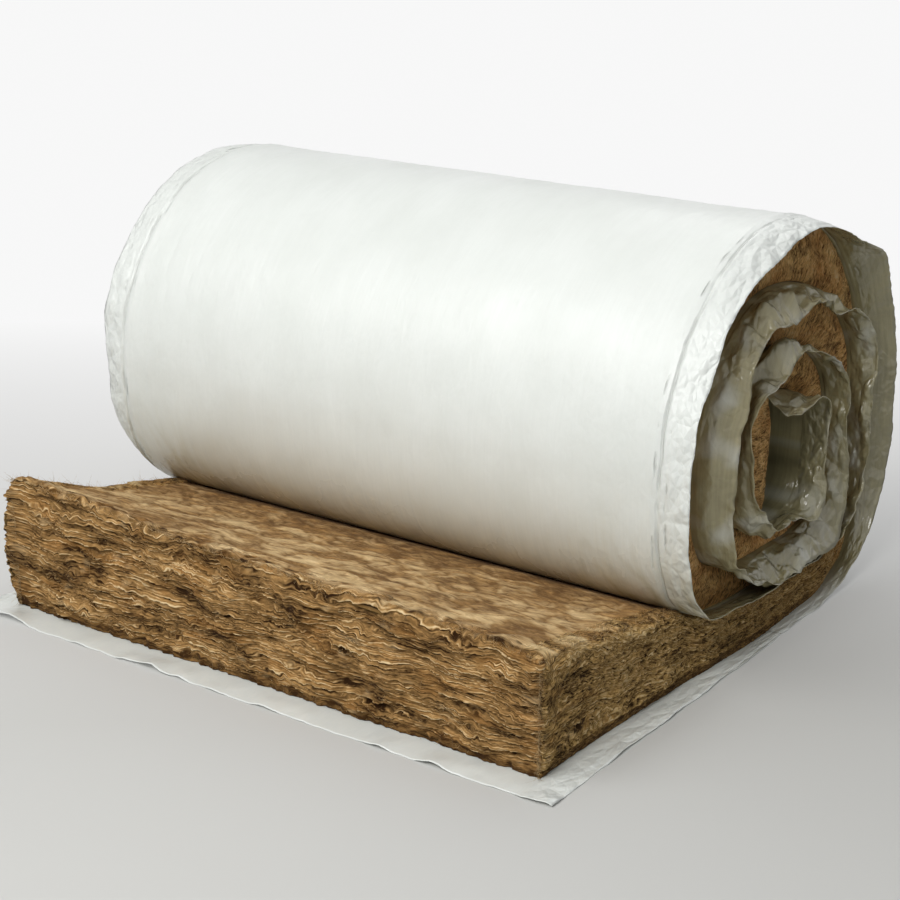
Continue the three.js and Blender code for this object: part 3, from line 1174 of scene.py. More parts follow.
@dataclass
class Layers:
    """Crimped layers of wool on a cut face, as relief and colour.

    The layers lie along u and are stacked along v. Slow waves and sharp crimps bend
    them. Each layer is a thin shelf: below a crevice its pale lip stands out, and the
    wool falls back from the lip to the next crevice down. Bundles of several layers
    stand out together, with deeper gaps between them, which open and close along u.
    The tone is painted to match: lighter on the lips and where a layer stands out, as
    highlight, and darker in the crevices and the open gaps, as shade, over tone that
    differs at random.
    """

    seed: int
    pitch: float = 0.0078
    bundle: float = 0.030
    slow: float = 0.009
    middling: float = 0.0050
    crimp: float = 0.0042
    crimp_length: float = 0.030
    reach: float = 0.030
    stand: float = 0.0042
    lip: float = 0.0042
    bundle_lip: float = 0.0060
    crevice: float = 0.010
    lip_place: float = 0.20
    slow_bend: Wave = Wave(1.0, 0.30, 0.12)
    middling_bend: Wave = Wave(1.0, 0.090, 0.055)
    fray: Wave = Wave(0.0008, 0.011, 0.012, cut=40)
    tufts: Wave = Wave(1.0, 0.008, 0.004)
    clouds: Wave = Wave(0.42, 0.17, 0.050, 3)

    def bend(self, u: Array, v: Array) -> Array:
        """How far the layers are carried up or down at each place."""
        slow, wave, small = Noise(self.seed), Noise(self.seed + 1), Noise(self.seed + 2)
        warp = self.slow * self.slow_bend.over(slow, u, v)
        warp = warp + self.middling * self.middling_bend.over(wave, u, v)
        vivid = np.clip(0.70 + 0.9 * wave.at(u / 0.13 + 9, v / 0.05 + 9), 0.15, 1.6)
        lean = u + 1.1 * warp + 0.004 * small.at(u / 0.03, v / 0.02)
        sharp = small.ridged(lean / self.crimp_length, v / self.reach)
        shorter, lower, apart = 0.45 * self.crimp_length, 0.6 * self.reach, 30
        minor = small.ridged(lean / shorter + apart, v / lower + apart)
        crimps = self.crimp * sharp + 0.38 * self.crimp * minor + self.fray.over(small, lean, v)
        return warp + vivid * crimps

    @staticmethod
    def profile(f: Array) -> Array:
        """Height across one layer: up steeply to the lip, then down gently."""
        up = smooth_step(0.02, 0.22, f)
        return up * (1.0 - 0.9 * np.clip((f - Layers.lip_place) / 0.80, 0, 1) ** 0.8)

    def relief(self, u: Array, v: Array) -> tuple[Array, Array, Array]:
        """Relief and looks at places on the face.

        Args:
            u: Distance along the layers.
            v: Distance across them.
        Returns:
            How far each spot stands out, the layer coordinate in metres, and marks.
        """
        own, gap, tint = Noise(self.seed + 3), Noise(self.seed + 4), Noise(self.seed + 5)
        uneven = 0.0045 * own.at(v / 0.023, u / 0.5 + 3.7)
        uneven = uneven + 0.0015 * own.at(v / 0.008, u / 0.3 + 8.1)
        flat = v + self.bend(u, v) + uneven
        stack = flat / self.pitch
        layer = np.floor(stack)
        f = stack - layer

        def strength(which: Array) -> Array:
            """How far a layer stands out, in slow swells and quicker ones."""
            slow = own.at(u / 0.10, which * 7.31 + 0.37)
            quick = own.at(u / 0.024, which * 3.77 + 0.71)
            return 0.8 * slow + 0.6 * quick

        here, above, below = strength(layer), strength(layer + 1), strength(layer - 1)
        up, down = 0.5 * smooth_step(0.82, 1.0, f), 0.5 * (1.0 - smooth_step(0.0, 0.08, f))
        stands = here * (1 - up - down) + up * above + down * below
        strong = np.clip(0.85 + 0.9 * here, 0.10, 1.7)
        place = flat / self.bundle + 0.4 * own.at(u / 0.2, v / 0.05)
        level = np.floor(place)
        g = place - level
        large = np.clip(0.45 + 0.9 * gap.at(u / 0.12, level * 4.7 + 0.3), 0, 1.3)
        opened = smooth_step(0.05, 0.5, gap.at(u / 0.050, level * 5.3 + 60.2)) * large
        slit = bell(np.minimum(g, 1 - g), 0.050)
        tuft = self.tufts.over(tint, u, v)
        depth = self.stand * stands + self.lip * self.profile(f) * strong
        depth = depth + self.bundle_lip * self.profile(g) * large
        depth = depth - self.crevice * opened * slit + 0.0005 * tuft

        # Painted highlight on each lip and where a layer stands out, painted shade in each crevice
        # and each open gap.
        crest = bell(f - self.lip_place, 0.09) * strong
        dark = bell(np.minimum(f, 1 - f), 0.075) * (0.3 + 0.7 * strong)
        deep = slit * (0.30 * large + 0.70 * opened)
        tone = 0.44 + 0.24 * here + 0.34 * crest - 0.26 * dark - 0.62 * deep + 0.15 * tuft
        tone = tone + self.clouds.over(tint, u, v)
        warm = smooth_step(0.0, 0.8, tint.layered(u / 0.09, stack * 0.30, 3))
        pale = smooth_step(-0.2, 0.5, tint.layered(u / 0.045 + 50, stack * 0.7 + 50, 2))
        # Pale along the crests: a painted highlight.
        pale = np.clip(0.85 * crest - 0.30, 0, 1) * pale
        patch = smooth_step(0.50, 1.0, tint.layered(u / 0.055 + 80, v / 0.022 + 80, 2))
        pale = np.clip(pale + 0.30 * patch, 0, 1)
        return depth, flat, np.stack([np.clip(tone, 0, 1), 0.55 * warm, pale], axis=-1)


END_LAYERS = {
    End.RIGHT: Layers(201, slow=0.012, middling=0.0085, crimp=0.0048, crimp_length=0.021,
                      stand=0.0042, lip=0.0034, bundle_lip=0.004, reach=0.022),
    End.LEFT: Layers(221, stand=0.0085, lip=0.0060, bundle_lip=0.009, crevice=0.012),
}


def tail_swell(end: End, share: Array) -> Array:
    """Share of the bulge that the free end shows at a share of its height."""
    if end is End.RIGHT:
        return 1.0 - 0.6 * share
    return 4.0 * share * (1.0 - share) + 0.35 * (1.0 - share)


@dataclass
class WoolTail:
    """The free end of the blanket: its top and its cut face."""

    section: Section
    top_profile: tuple = (
        (-0.02, 0.2105), (0.0, 0.2100), (0.06, 0.2055), (0.113, 0.1985), (0.18, 0.1860),
        (0.239, 0.1740), (0.31, 0.1610), (0.374, 0.1500), (0.43, 0.1380), (0.50, 0.1180),
        (0.60, 0.0960), (0.7375, 0.0800),
    )
    front_height: tuple = (
        (-0.600, 0.262), (-0.574, 0.266), (-0.462, 0.257), (-0.359, 0.251),
        (-0.234, 0.240), (-0.115, 0.231), (0.221, 0.227), (0.325, 0.223),
        (0.425, 0.221), (0.522, 0.217), (0.594, 0.208), (0.62, 0.205),
    )
    front_level: float = 0.2100
    rise_depth: float = 0.25
    foot: float = 0.0016
    drawn_height: float = 0.222
    closing: tuple = (0.0, 0.035, 0.0)
    swirl: Wave = Wave(0.045, 0.11, 0.07, cut=40)
    lumps: Wave = Wave(0.0030, 0.10, 0.06, 3)
    streaks: Wave = Wave(0.0014, 0.035, 0.014, 3)
    fluff: Wave = Wave(0.0006, 0.012, 0.006)
    bands: Wave = Wave(1.0, 0.11, 0.055, 4)
    clouds: Wave = Wave(1.0, 0.085, 0.055, 3, cut=20)
    threads: Wave = Wave(1.0, 0.040, 0.010, 3, cut=5)
    cut_waves: Wave = Wave(0.011, 0.15, 0.07)
    cut_place: float = -1.2
    dip_width: float = 0.014

    def top(self, x: Array, run: Array) -> Array:
        """Height of the top.

        It is one profile from the cut edge to under the roll, raised near the cut edge
        by what the wool has swelled there.
        """
        xs, zs = np.array(self.top_profile).T
        height = np.interp(run, xs, zs)
        fronts, heights = np.array(self.front_height).T
        extra = np.interp(x, fronts, heights) - self.front_level
        fade = np.clip(1.0 - run / self.rise_depth, 0.0, 1.0) ** 1.4
        return height + extra * fade

    def top_look(self, x: Array, run: Array) -> tuple[Array, Array]:
        """Relief and marks of the top: soft lumps, torn streaks and pale clouds."""
        lumps, streaks, tint = Noise(151), Noise(152), Noise(153)
        reach = self.section.half_width - 0.003
        inner = smooth_step(0.0, 0.05, reach - np.abs(x)) * smooth_step(-0.01, 0.03, run)
        swirl = self.swirl.over(lumps, x, run)
        swept = run + swirl
        relief = self.lumps.over(lumps, x, swept)
        relief = relief + self.streaks.over(streaks, x + swirl, run + 0.5 * swirl)
        torn = np.clip(streaks.ridged(x / 0.08 + 9, swept / 0.035), 0, 1) ** 4
        relief = (relief - 0.0022 * torn) * inner + self.fluff.over(streaks, x, run)
        bands = self.bands.over(tint, x + swirl, swept)
        clouds = self.clouds.over(tint, x, swept)
        threads = self.threads.over(streaks, x + 2 * swirl, swept)
        shade = smooth_step(0.27, 0.40, run + 0.02 * clouds)
        tone = 0.50 + 0.44 * bands + 0.28 * threads - 0.40 * torn - 0.2 * shade
        warm = 0.34 + 0.5 * clouds
        pale = 0.26 + 0.75 * bands + 0.30 * threads - 0.6 * torn - 0.5 * shade
        return relief, np.clip(np.stack([tone, warm, pale], axis=-1), 0, 1)

    @staticmethod
    def dive(share: Array) -> Array:
        """Rounds an edge: how far a surface has turned away at a share of its radius."""
        return 1.0 - np.sqrt(1.0 - 0.98 * np.clip(share, 0.0, 1.0) ** 2)

    def cut_face(self, finish: bpy.types.Material) -> bpy.types.Object:
        """The cut face: layers stacked from the floor up, rounded over at the top.

        Rows rise by q, 0 at the floor and 1 at the top edge, and go on over the edge.
        Along the floor a strip of the wool is pressed flat and frayed, and painted dark as
        shade where the wool curves under. Towards the sides the face bends back to meet them.
        """
        section, layers, noise = self.section, Layers(101), Noise(131)
        half = section.half_width
        x = np.linspace(-half, half, 521)[None, :]
        q = spaced((0.0, 1.0, 1 / 136), (1.0, 1.16, 0.0115))[:, None]
        level = 0 * x
        height = self.top(x, level) - self.foot
        up = np.minimum(q, 1.0) * height
        over = np.clip(q - 1.0, 0, None) * 0.27
        drawn = up * self.drawn_height / height
        depth, flat, marks = layers.relief(x + 0 * q, drawn + over)
        depth = depth - 0.005 + self.cut_waves.over(noise, x, up)
        wander = 0.008 * noise.layered(x / 0.035, level, 2)
        strip = 1.0 - smooth_step(0.012, 0.019, up + wander)
        frayed = 0.005 * noise.layered(x / 0.022, level + 9, 3)
        depth = depth * (1 - 0.7 * strip) + (frayed - 0.004) * strip
        back = 0.016 * self.dive((q - 0.91) / 0.09)
        bend = self.corner_bend(noise, up, np.sign(x))
        corner = 0.8 * bend * self.dive((np.abs(x) - (half - bend)) / bend)
        y = section.cut_y - depth * (1 - 0.4 * smooth_step(0.9, 1.0, q)) + back + over + corner
        lump = 0.006 * noise.layered(x / 0.06, level + 30, 3)
        lump = lump + 0.003 * noise.layered(x / 0.018, level + 50, 2)
        relief, soft = self.top_look(x, y - section.cut_y)
        lump = lump * smooth_step(0.6, 1.0, q) * (1 - smooth_step(1.0, 1.10, q))
        z = self.foot + up + lump + relief * smooth_step(1.0, 1.05, q)
        z = z - (self.top(x, level) - self.top(x, over)) - 0.006 * smooth_step(1.09, 1.16, q)
        # Painted shade along the foot strip: nearly black, a little warm.
        foot_shade = np.stack([0.08 * marks[..., 0], 0.20 + 0 * up, 0 * up], axis=-1)
        marks = marks + (foot_shade - marks) * strip[..., None]
        frays = 0.03 * noise.layered(x / 0.05 + 60, level, 2)
        frays = frays + 0.02 * noise.layered(x / 0.012 + 60, q / 0.02, 2)
        marks = marks + (soft - marks) * smooth_step(0.985, 1.04, q + frays)[..., None]
        outmost = smooth_step(0.90, 1.0, np.abs(x) / half)
        wide = x - np.sign(x) * 0.024 * outmost * smooth_step(0.97, 1.03, q)
        for end in End:
            stands = layers.relief(end.value * half + 0 * up, drawn)[0] - 0.004
            swell = tail_swell(end, np.minimum(q, 1.0))
            stands = stands + BULGE.at(end, self.cut_place) * swell
            wide = wide + stands * end.value * smooth_step(0.93, 1.0, end.value * x / half)
        z = z - 0.007 * outmost**2 * smooth_step(0.99, 1.04, q)
        points = np.stack([wide, y, z], axis=-1)
        uv = np.stack([x + 0 * y, flat], axis=-1)

        shell = Shell()
        face = shell.add(points, uv, marks)
        shell.quads(face)
        middle, centre = points[len(points) // 2], points[:, points.shape[1] // 2]
        rims = []
        for row in (0, -1):
            drawn_in = 0.2 * (middle - points[row]) + 0.06 * (centre[row] - points[row])
            rim = points[row] + drawn_in + np.array(self.closing)
            rims.append(shell.add(rim, uv[row], 0.5 * marks[row]))
        shell.block(face, rims, flip=False)
        return shell.make("wool_cut_face", [finish])

    @staticmethod
    def corner_bend(noise: Noise, up: Array, side: Array) -> Array:
        """How far from each corner the cut face and the side bend towards each other."""
        return 0.018 + 0.008 * noise.layered(up / 0.03, side * 5.0, 2)

    def top_face(self, finish: bpy.types.Material) -> bpy.types.Object:
        """The top, down to the floor as one block: soft lumps and long faint streaks."""
        section = self.section
        reach = section.half_width - 0.012
        x = np.linspace(-reach, reach, 361)[None, :]
        run = spaced((0.026, 0.45, 0.0040), (0.45, 0.72, 0.02))[:, None]
        relief, marks = self.top_look(x, run)
        shown = 1.0 - smooth_step(0.40, 0.46, run)
        dip = self.dive((np.abs(x) - (reach - self.dip_width)) / self.dip_width)
        z = self.top(x, run) + relief * shown - 0.006 * dip - 0.005 * (1 - shown)
        z = np.minimum(z, self.under_roll(run) - 0.001)
        points = np.stack([x + 0 * z, section.cut_y + run + 0 * z, z], axis=-1)
        uv = np.stack([x + 0 * z, run + 0 * z], axis=-1)
        shell = Shell()
        face = shell.add(points, uv, marks)
        shell.quads(face, flip=True)
        low = points.copy()
        low[..., 2] = self.foot
        rims = [shell.add(low[row], uv[row], 0.5 * marks[row]) for row in (0, -1)]
        shell.block(face, rims, flip=True)
        return shell.make("wool_tail_top", [finish])

    def under_roll(self, run: Array) -> Array:
        """Height of the roll's underside above the free end, or a metre where none is."""
        section = self.section
        place = np.linspace(section.nip_place - 0.4, 4.0, 400)
        line = section.spiral(place, section.film_radii())
        y = section.cut_y + run
        return np.where(y < line[0, 0], 1.0, np.interp(y, line[:, 0], line[:, 1])) - 0.001

    def build(self) -> list[bpy.types.Object]:
        """Makes the cut face and the top."""
        cut = WoolFinish(
            "wool cut edge", crevice=(0.030, 0.013, 0.004), crest=(0.48, 0.278, 0.102),
            warm=(0.42, 0.200, 0.056), pale=(0.78, 0.60, 0.34), pitch=Layers.pitch)
        top = WoolFinish(
            "wool top", crevice=(0.16, 0.086, 0.034), crest=(0.51, 0.325, 0.138),
            warm=(0.48, 0.250, 0.080), pale=(0.74, 0.56, 0.31), along=60.0, across=150.0,
            grain=0.70)
        return [self.cut_face(cut.material()), self.top_face(top.material())]


@dataclass
class WoolBand:
    """The blanket seen from its two ends: one band from the cut edge to the core.

    Each end face is worked out by the same formulas all the way, and is made in two
    pieces: the side of the free end with its start round the roll, on a fine grid, and
    the wound rest on a coarser one.
    """

    section: Section
    tail: WoolTail
    seam_place: float = 1.25
    seam_lap: float = 0.004
    tuck: float = 0.009
    inset: float = 0.07
    lap: tuple = (0.0035, 0.040, 11)
    film_gap: float = 0.0015
    free_end_closing: tuple = (0.12, 0.25, 0.045)
    front_round: tuple = (0.012, 0.009)
    swellings: Wave = Wave(0.007, 0.11, 0.06)
    hair: Wave = Wave(1.0, 0.006, 0.006)
    felt_clouds: Wave = Wave(0.40, 0.06, 0.035, 3)

    def lines(self, length: Array, end: End) -> tuple[Array, Array, Array, Array]:
        """Outer and inner line of the band, the outward normals and the places.

        The outer line lies on the film. The inner one is the free end's top, then the
        roll's underside, then a whole turn further on along the film, and at last the
        eye, where there is no further turn.
        """
        section = self.section
        run = section.film_run()
        point, normal, place = run.at(length)
        outer = point - normal * section.gap
        ahead = np.interp(np.clip(place + 4, 0, section.film_quarters), run.place, run.length)
        further = run.at(ahead)
        on_film = further[0] + further[1] * self.film_gap
        last_turn = section.film_quarters - 4
        in_eye = np.clip(place, last_turn, section.film_quarters)
        eye = section.spiral(in_eye, section.eye_radii())
        inner = np.where(place[:, None] > last_turn, eye, on_film)
        along = outer[:, 0] - section.cut_y
        top = self.tail.top(end.value * section.half_width + 0 * along, along)
        top = np.minimum(top, self.tail.under_roll(along))
        free = np.stack([outer[:, 0], top], axis=1)
        return outer, np.where(place[:, None] < 0, free, inner), normal, place

    def columns(self, number: int, lapped: bool) -> tuple[Array, Array]:
        """Places across the band, closer at its two edges, and how far each is past it."""
        t = np.linspace(0.0, 1.0, number)[None, :]
        t = 0.6 * t + 0.4 * (0.5 - 0.5 * np.cos(np.pi * t))
        beyond = 0.0 * t
        if lapped:
            start, stop, more = self.lap
            beyond = np.append(beyond, np.linspace(start, stop, more))[None, :]
            t = np.append(t, np.ones(more))[None, :]
        return t, beyond

    def end_face(self, end: End, length: Array, columns: int, lapped: bool) -> tuple:
        """Grid of one end face: rows along the run, columns from the film inwards.

        Near the cut edge it is crimped layers, along the free end they are pulled into
        curls, and on the wound turns they are felted, with faint streaks from the film
        inwards. It rounds away from the film at both lines. Where it is lapped, it goes
        on over the free end's top for a few centimetres, and has the top's own relief.

        Args:
            end: The end of the roll.
            length: Distance along the run for each row.
            columns: Number of columns from the outer line to the inner one.
            lapped: True where the face goes on over the top.
        Returns:
            Points, flat map, marks and the outward normals of the rows.
        """
        section, tail, sign = self.section, self.tail, end.value
        outer, inner, normal, place = self.lines(length, end)
        t, beyond = self.columns(columns, lapped)
        thick = np.linalg.norm(outer - inner, axis=1)[:, None]
        across = t * thick
        s, p = (length - section.cut_margin)[:, None], place[:, None]
        felted = smooth_step(-0.25, 0.7, p)
        wound = smooth_step(-0.1, 0.3, p)
        pulled = smooth_step(0.04, 0.35, s) if end is End.RIGHT else 0.3 + 0 * s
        fuzz, lumps, tint, corner = map(Noise, (301 + sign, 302 + sign, 303 + sign, 131))

        pressed = np.clip(thick / 0.20, 0.35, 1.0)
        depth, flat, marks = END_LAYERS[end].relief(s + 0 * t, across / pressed)
        turned = s + 0.012 * Noise(97).layered(s / 0.05, across / 0.03, 2)
        turned = 1.0 - smooth_step(0.012, 0.05, turned)
        round_corner = sign * (section.half_width + s) + 0 * t
        cut = Layers(101).relief(round_corner, across * tail.drawn_height / thick)
        depth, flat = depth + (cut[0] - depth) * turned, flat + (cut[1] - flat) * turned
        marks = marks + (cut[2] - marks) * turned[..., None]
        curl = fuzz.ridged(s / 0.012 + 1.5 * fuzz.at(s / 0.03, across / 0.03), across / 0.010)
        hair = self.hair.over(fuzz, s, across)
        swept = s / 0.0085 + 2 * fuzz.at(s / 0.05, across / 0.03)
        streak = fuzz.ridged(swept, across / 0.045 + sign * 7)
        depth = depth * (1 - 0.45 * pulled) * (1 - 0.6 * felted)
        depth = depth + 0.0020 * pulled * curl + 0.0010 * hair + 0.0014 * felted * streak
        swelling = lumps.layered(s / self.swellings.long, across / self.swellings.wide + sign, 2)
        depth = depth + self.swellings.height * swelling * (1 - turned)
        strip = across + 0.004 * lumps.at(s / 0.03, 0 * s)
        strip = (1.0 - smooth_step(0.010, 0.020, strip)) * (1 - wound)
        depth = depth * (1 - 0.6 * strip) - 0.002 * strip

        swell = wound + (1 - wound) * tail_swell(end, t)
        hollow = 1 - np.clip(np.sin(np.pi * t), 0, 1) ** 0.5
        top_round = 0.020 * tail.dive((t - 0.88) / 0.12) * (1 - wound)
        bend = tail.corner_bend(corner, across, sign + 0 * s)
        tufted = 1.0 + 0.8 * fuzz.layered(across / 0.009, s / 0.014 + 70, 2)
        front = tail.dive((bend - s) / bend) * tufted
        front_in, front_back = self.front_round
        face = depth - top_round - front_in * front
        face = face * (1 - wound * hollow) - wound * 0.010 * hollow
        face = face + BULGE.at(end, p) * swell
        x = sign * (section.half_width + face - beyond * (1 - 0.97 * wound))
        yz = outer[:, None] * (1 - t[..., None]) + inner[:, None] * t[..., None]
        y = yz[..., 0] + front_back * front
        along = y - section.cut_y
        relief, soft = tail.top_look(x, along)
        free = smooth_step(0.88, 1.0, t) * (1 - wound)
        rise = tail.top(x, along) - tail.top(sign * section.half_width + 0 * x, along)
        rise = rise + relief + 0.0014 - front_in * front
        rise = rise - 0.006 * smooth_step(0.028, 0.040, beyond)
        points = np.stack([x, y, yz[..., 1] + free * rise], axis=-1)

        layered_tone = marks[..., 0] + 0.42 * (curl - 0.3) * pulled + 0.16 * hair
        # Painted light along the rounded top edge of the free end's side.
        layered_tone = layered_tone + 0.22 * smooth_step(0.88, 1.0, t)
        felt = 0.56 + 0.40 * (marks[..., 0] - 0.4) + 0.34 * (streak - 0.3) + 0.18 * hair
        felt = felt + self.felt_clouds.over(tint, s, across)
        tone = layered_tone * (1 - felted) + felt * felted
        # The foot strip along the film is painted dark, as shade where the wool curves under.
        tone = np.clip(tone, 0, 1) * (1 - 0.95 * strip)
        ruddy = np.clip(0.5 + 0.5 * tint.layered(s / 0.09 + 9, across / 0.05, 2), 0, 1)
        warm = marks[..., 1] * (0.6 - 0.4 * pulled) * (1 - felted) * (1 - strip)
        warm = np.clip(warm + felted * ruddy + 0.2 * strip, 0, 1)
        pale = marks[..., 2] * (0.8 - 0.55 * felted) * (1 - strip)
        look = np.stack([tone, warm, pale], axis=-1)
        look = look + (soft - look) * (free * smooth_step(0.94, 1.0, t + 0.03 * hair))[..., None]
        uv = np.stack([s + 0 * t, (flat if lapped else across) - beyond], axis=-1)
        return points, uv, look, normal

    def make(self, name: str, length: Array, columns: int, finish: WoolFinish,
             lapped: bool = False) -> bpy.types.Object:
        """Both end faces of one stretch, closed with broad faces that lie off the film.

        Where it is lapped over the top, its start is closed well behind its first row,
        so that it stays hidden behind the cut face.
        """
        shell = Shell()
        faces, rims = {}, {}
        for end in End:
            points, uv, marks, normal = self.end_face(end, length, columns, lapped)
            faces[end], rims[end] = shell.add(points, uv, marks), []
            for column, way in ((0, -self.tuck), (-1, self.tuck)):
                rim = points[:, column] + 0.0
                rim[:, 0] = end.value * (self.section.half_width - self.inset)
                rim[:, 1:] += way * normal
                rims[end].append(shell.add(rim, uv[:, column], 0.5 * marks[:, column]))
        right, left = faces[End.RIGHT], faces[End.LEFT]
        (left_out, left_in), (right_out, right_in) = rims[End.LEFT], rims[End.RIGHT]
        shell.quads(right, flip=True)
        shell.quads(left)
        shell.quads(np.stack([left[:, 0], left_out, right_out, right[:, 0]], axis=1))
        shell.quads(np.stack([right[:, -1], right_in, left_in, left[:, -1]], axis=1))
        for row, flip in ((0, False), (-1, True)):
            ring = np.array([*left[row], left_in[row], right_in[row], *right[row][::-1],
                             right_out[row], left_out[row]])
            if row == 0 and lapped:
                share_x, share_z, back = self.free_end_closing
                corners = np.concatenate(shell.vertices)[ring]
                inwards = (corners.mean(axis=0) - corners) * np.array([share_x, 0.0, share_z])
                behind = shell.add(corners + inwards + np.array([0.0, back, 0.0]))
                rings = [np.append(indices, indices[0]) for indices in (behind, ring)]
                shell.quads(np.stack(rings, axis=1), flip=flip)
                ring = behind
            shell.polygon(ring, flip=flip)
        return shell.make(name, [finish.material()])

    def build(self) -> list[bpy.types.Object]:
        """Makes the free end's sides and the wound turns."""
        side_finish = WoolFinish(
            "wool sides", crevice=(0.034, 0.016, 0.005), crest=(0.58, 0.365, 0.130),
            warm=(0.50, 0.250, 0.072), along=110.0, across=420.0, grain=1.1, blotch=0.35,
            bump=1.0, bump_depth=0.0028, pitch=Layers.pitch)
        turn_finish = WoolFinish(
            "wool turns", crevice=(0.045, 0.021, 0.007), crest=(0.83, 0.530, 0.210),
            warm=(0.65, 0.310, 0.098), along=420.0, across=110.0, grain=1.3, blotch=0.40,
            bump=1.0, bump_depth=0.0028)
        run, section = self.section.film_run(), self.section
        seam, stop = run.length_at(self.seam_place), run.length_at(section.wool_quarters)
        sides = spaced((section.cut_margin + 0.0015, seam + self.seam_lap, 0.0036))
        turns = spaced((seam, stop, 0.0050))
        return [
            self.make("wool_sides", sides, 80, side_finish, lapped=True),
            self.make("wool_turns", turns, 30, turn_finish),
        ]


@dataclass(frozen=True)
class Tufts:
    """Loose fibres along one part of the wool.

    Attributes:
        number: How many there are, at each end where they stand at the ends.
        way: Which way they stand out; X is outwards where they stand at the ends.
        spread: How much their ways differ.
        length: Their usual length.
        inset: How far their roots lie inside the end, the cut face and the top.
        lowest: Lowest root as a share of the height, or None along a top edge.
        reach: Length of the free end's sides that they cover.
        at_ends: True where they stand at both ends of the roll.
    """

    number: int
    way: tuple
    spread: float
    length: float
    inset: tuple
    lowest: float | None
    reach: float = 0.0
    at_ends: bool = True


@dataclass
class StrayFibres:
    """Loose fibres that stand out from the wool's edges, as thin three-sided strands."""

    section: Section
    tail: WoolTail
    knots: int = 4
    seed: int = 401
    radius: float = 0.00032
    taper: float = 0.75
    curl: float = 0.55
    twist: float = 0.25
    lowest: float = 0.0022
    length_range: tuple = (0.4, 1.3)
    tufts: tuple = (
        Tufts(640, (0.3, -0.7, 0.1), 0.5, 0.007, (0.0, 0.002, 0.0), 0.004, at_ends=False),
        Tufts(480, (0.0, -0.5, 0.5), 0.6, 0.010, (0.0, 0.004, 0.002), None, at_ends=False),
        Tufts(400, (0.8, 0.0, 0.1), 0.5, 0.013, (0.001, 0.0, 0.0), 0.02, reach=0.50),
        Tufts(240, (0.5, 0.0, 0.6), 0.5, 0.010, (0.006, 0.0, 0.003), None, reach=0.42),
        Tufts(320, (0.7, -0.7, 0.0), 0.45, 0.010, (0.006, 0.004, 0.0), 0.01),
    )

    def strands(self, root: Array, way: Array, length: Array) -> Array:
        """Tubes round bent strands.

        Each strand leaves its root along its way and curls aside as the square of the
        distance. Three points stand round it at each knot, nearer towards the tip.

        Args:
            root: Where each strand starts.
            way: Unit direction of each.
            length: Length of each.
        Returns:
            Points as strands x knots x 3 x 3.
        """
        rng = np.random.default_rng(self.seed + len(root))
        t = np.linspace(0.0, 1.0, self.knots)[None, :, None]
        curl = rng.normal(0.0, self.curl, (len(root), 1, 3))
        twist = rng.normal(0.0, self.twist, (len(root), 1, 3))
        bend = way[:, None] * t + curl * t**2 + twist * np.sin(5.0 * t) * t
        spine = root[:, None] + length[:, None, None] * bend
        spine[..., 2] = np.maximum(spine[..., 2], self.lowest)
        side = np.cross(way, rng.normal(size=way.shape))
        side /= np.linalg.norm(side, axis=1, keepdims=True)
        other = np.cross(way, side)
        angle = np.arange(3) * 2 * np.pi / 3
        ring = np.cos(angle)[:, None] * side[:, None] + np.sin(angle)[:, None] * other[:, None]
        width = self.radius * (1.0 - self.taper * t[..., None])
        return spine[:, :, None] + ring[:, None] * width

    def roots(self, rng: np.random.Generator) -> tuple[Array, Array, Array]:
        """Where each fibre starts, its unit direction and its length, group by group."""
        section, groups = self.section, []
        for kind in self.tufts:
            number = kind.number
            run = rng.uniform(0.0, kind.reach, number) if kind.reach else np.zeros(number)
            for side in (-1, 1) if kind.at_ends else (0,):
                if side:
                    x = np.full(number, side * section.half_width)
                else:
                    x = rng.uniform(-section.half_width, section.half_width, number)
                height = self.tail.top(x, run)
                if kind.lowest is not None:
                    height = height * rng.uniform(kind.lowest, 1.0, number)
                in_x, in_y, in_z = kind.inset
                root = [x - side * in_x, section.cut_y + run + in_y, height - in_z]
                way = np.array(kind.way) * (side or 1, 1, 1)
                way = way + rng.normal(0.0, kind.spread, (number, 3))
                way /= np.linalg.norm(way, axis=1, keepdims=True)
                length = kind.length * rng.uniform(*self.length_range, number)
                groups.append((np.stack(root, axis=1), way, length))
        return tuple(map(np.concatenate, zip(*groups)))

    def build(self) -> bpy.types.Object:
        """Makes the strands along the cut face, its corners, the top edges and the sides."""
        rng = np.random.default_rng(self.seed)
        root, way, length = self.roots(rng)
        tubes = self.strands(root, way, length)
        each = (len(root), 1, 1)
        tone, warm = rng.uniform(0.35, 1.0, each), rng.uniform(0.0, 0.6, each)
        marks = np.concatenate([tone, warm, 0.5 * tone], axis=-1)[:, :, None]
        marks = marks * np.ones((1, self.knots, 3, 1))
        uv = np.zeros((*tubes.shape[:-1], 2))
        uv[..., 0] = rng.uniform(0, 1, each)
        uv[..., 1] = np.linspace(0, 0.01, self.knots)[None, :, None]
        shell = Shell()
        index = shell.add(tubes, uv, marks)
        wrapped = np.concatenate([index, index[:, :, :1]], axis=2)
        a, b = wrapped[:, :-1, :-1], wrapped[:, 1:, :-1]
        c, d = wrapped[:, 1:, 1:], wrapped[:, :-1, 1:]
        cells = np.stack([a, d, c, b], axis=-1).reshape(-1, 4)
        caps = np.concatenate([index[:, 0], index[:, -1, ::-1]])
        shell.faces = cells.tolist() + caps.tolist()
        shell.slots = [0] * len(shell.faces)
        finish = WoolFinish("loose fibres", crevice=(0.16, 0.10, 0.045),
                            crest=(0.50, 0.36, 0.18), bump=0.0)
        return shell.make("wool_stray_fibres", [finish.material()])


# ---- Studio --------------------------------------------------------------------------


def seen_rays(nodes: Nodes) -> bpy.types.NodeSocket:
    """1 for rays that show the background: the camera's, and gloss and glass."""
    path = nodes.add("ShaderNodeLightPath")
    seen = nodes.math("MAXIMUM", path.outputs["Is Camera Ray"], path.outputs["Is Glossy Ray"])
    return nodes.math("MAXIMUM", seen, path.outputs["Is Transmission Ray"])


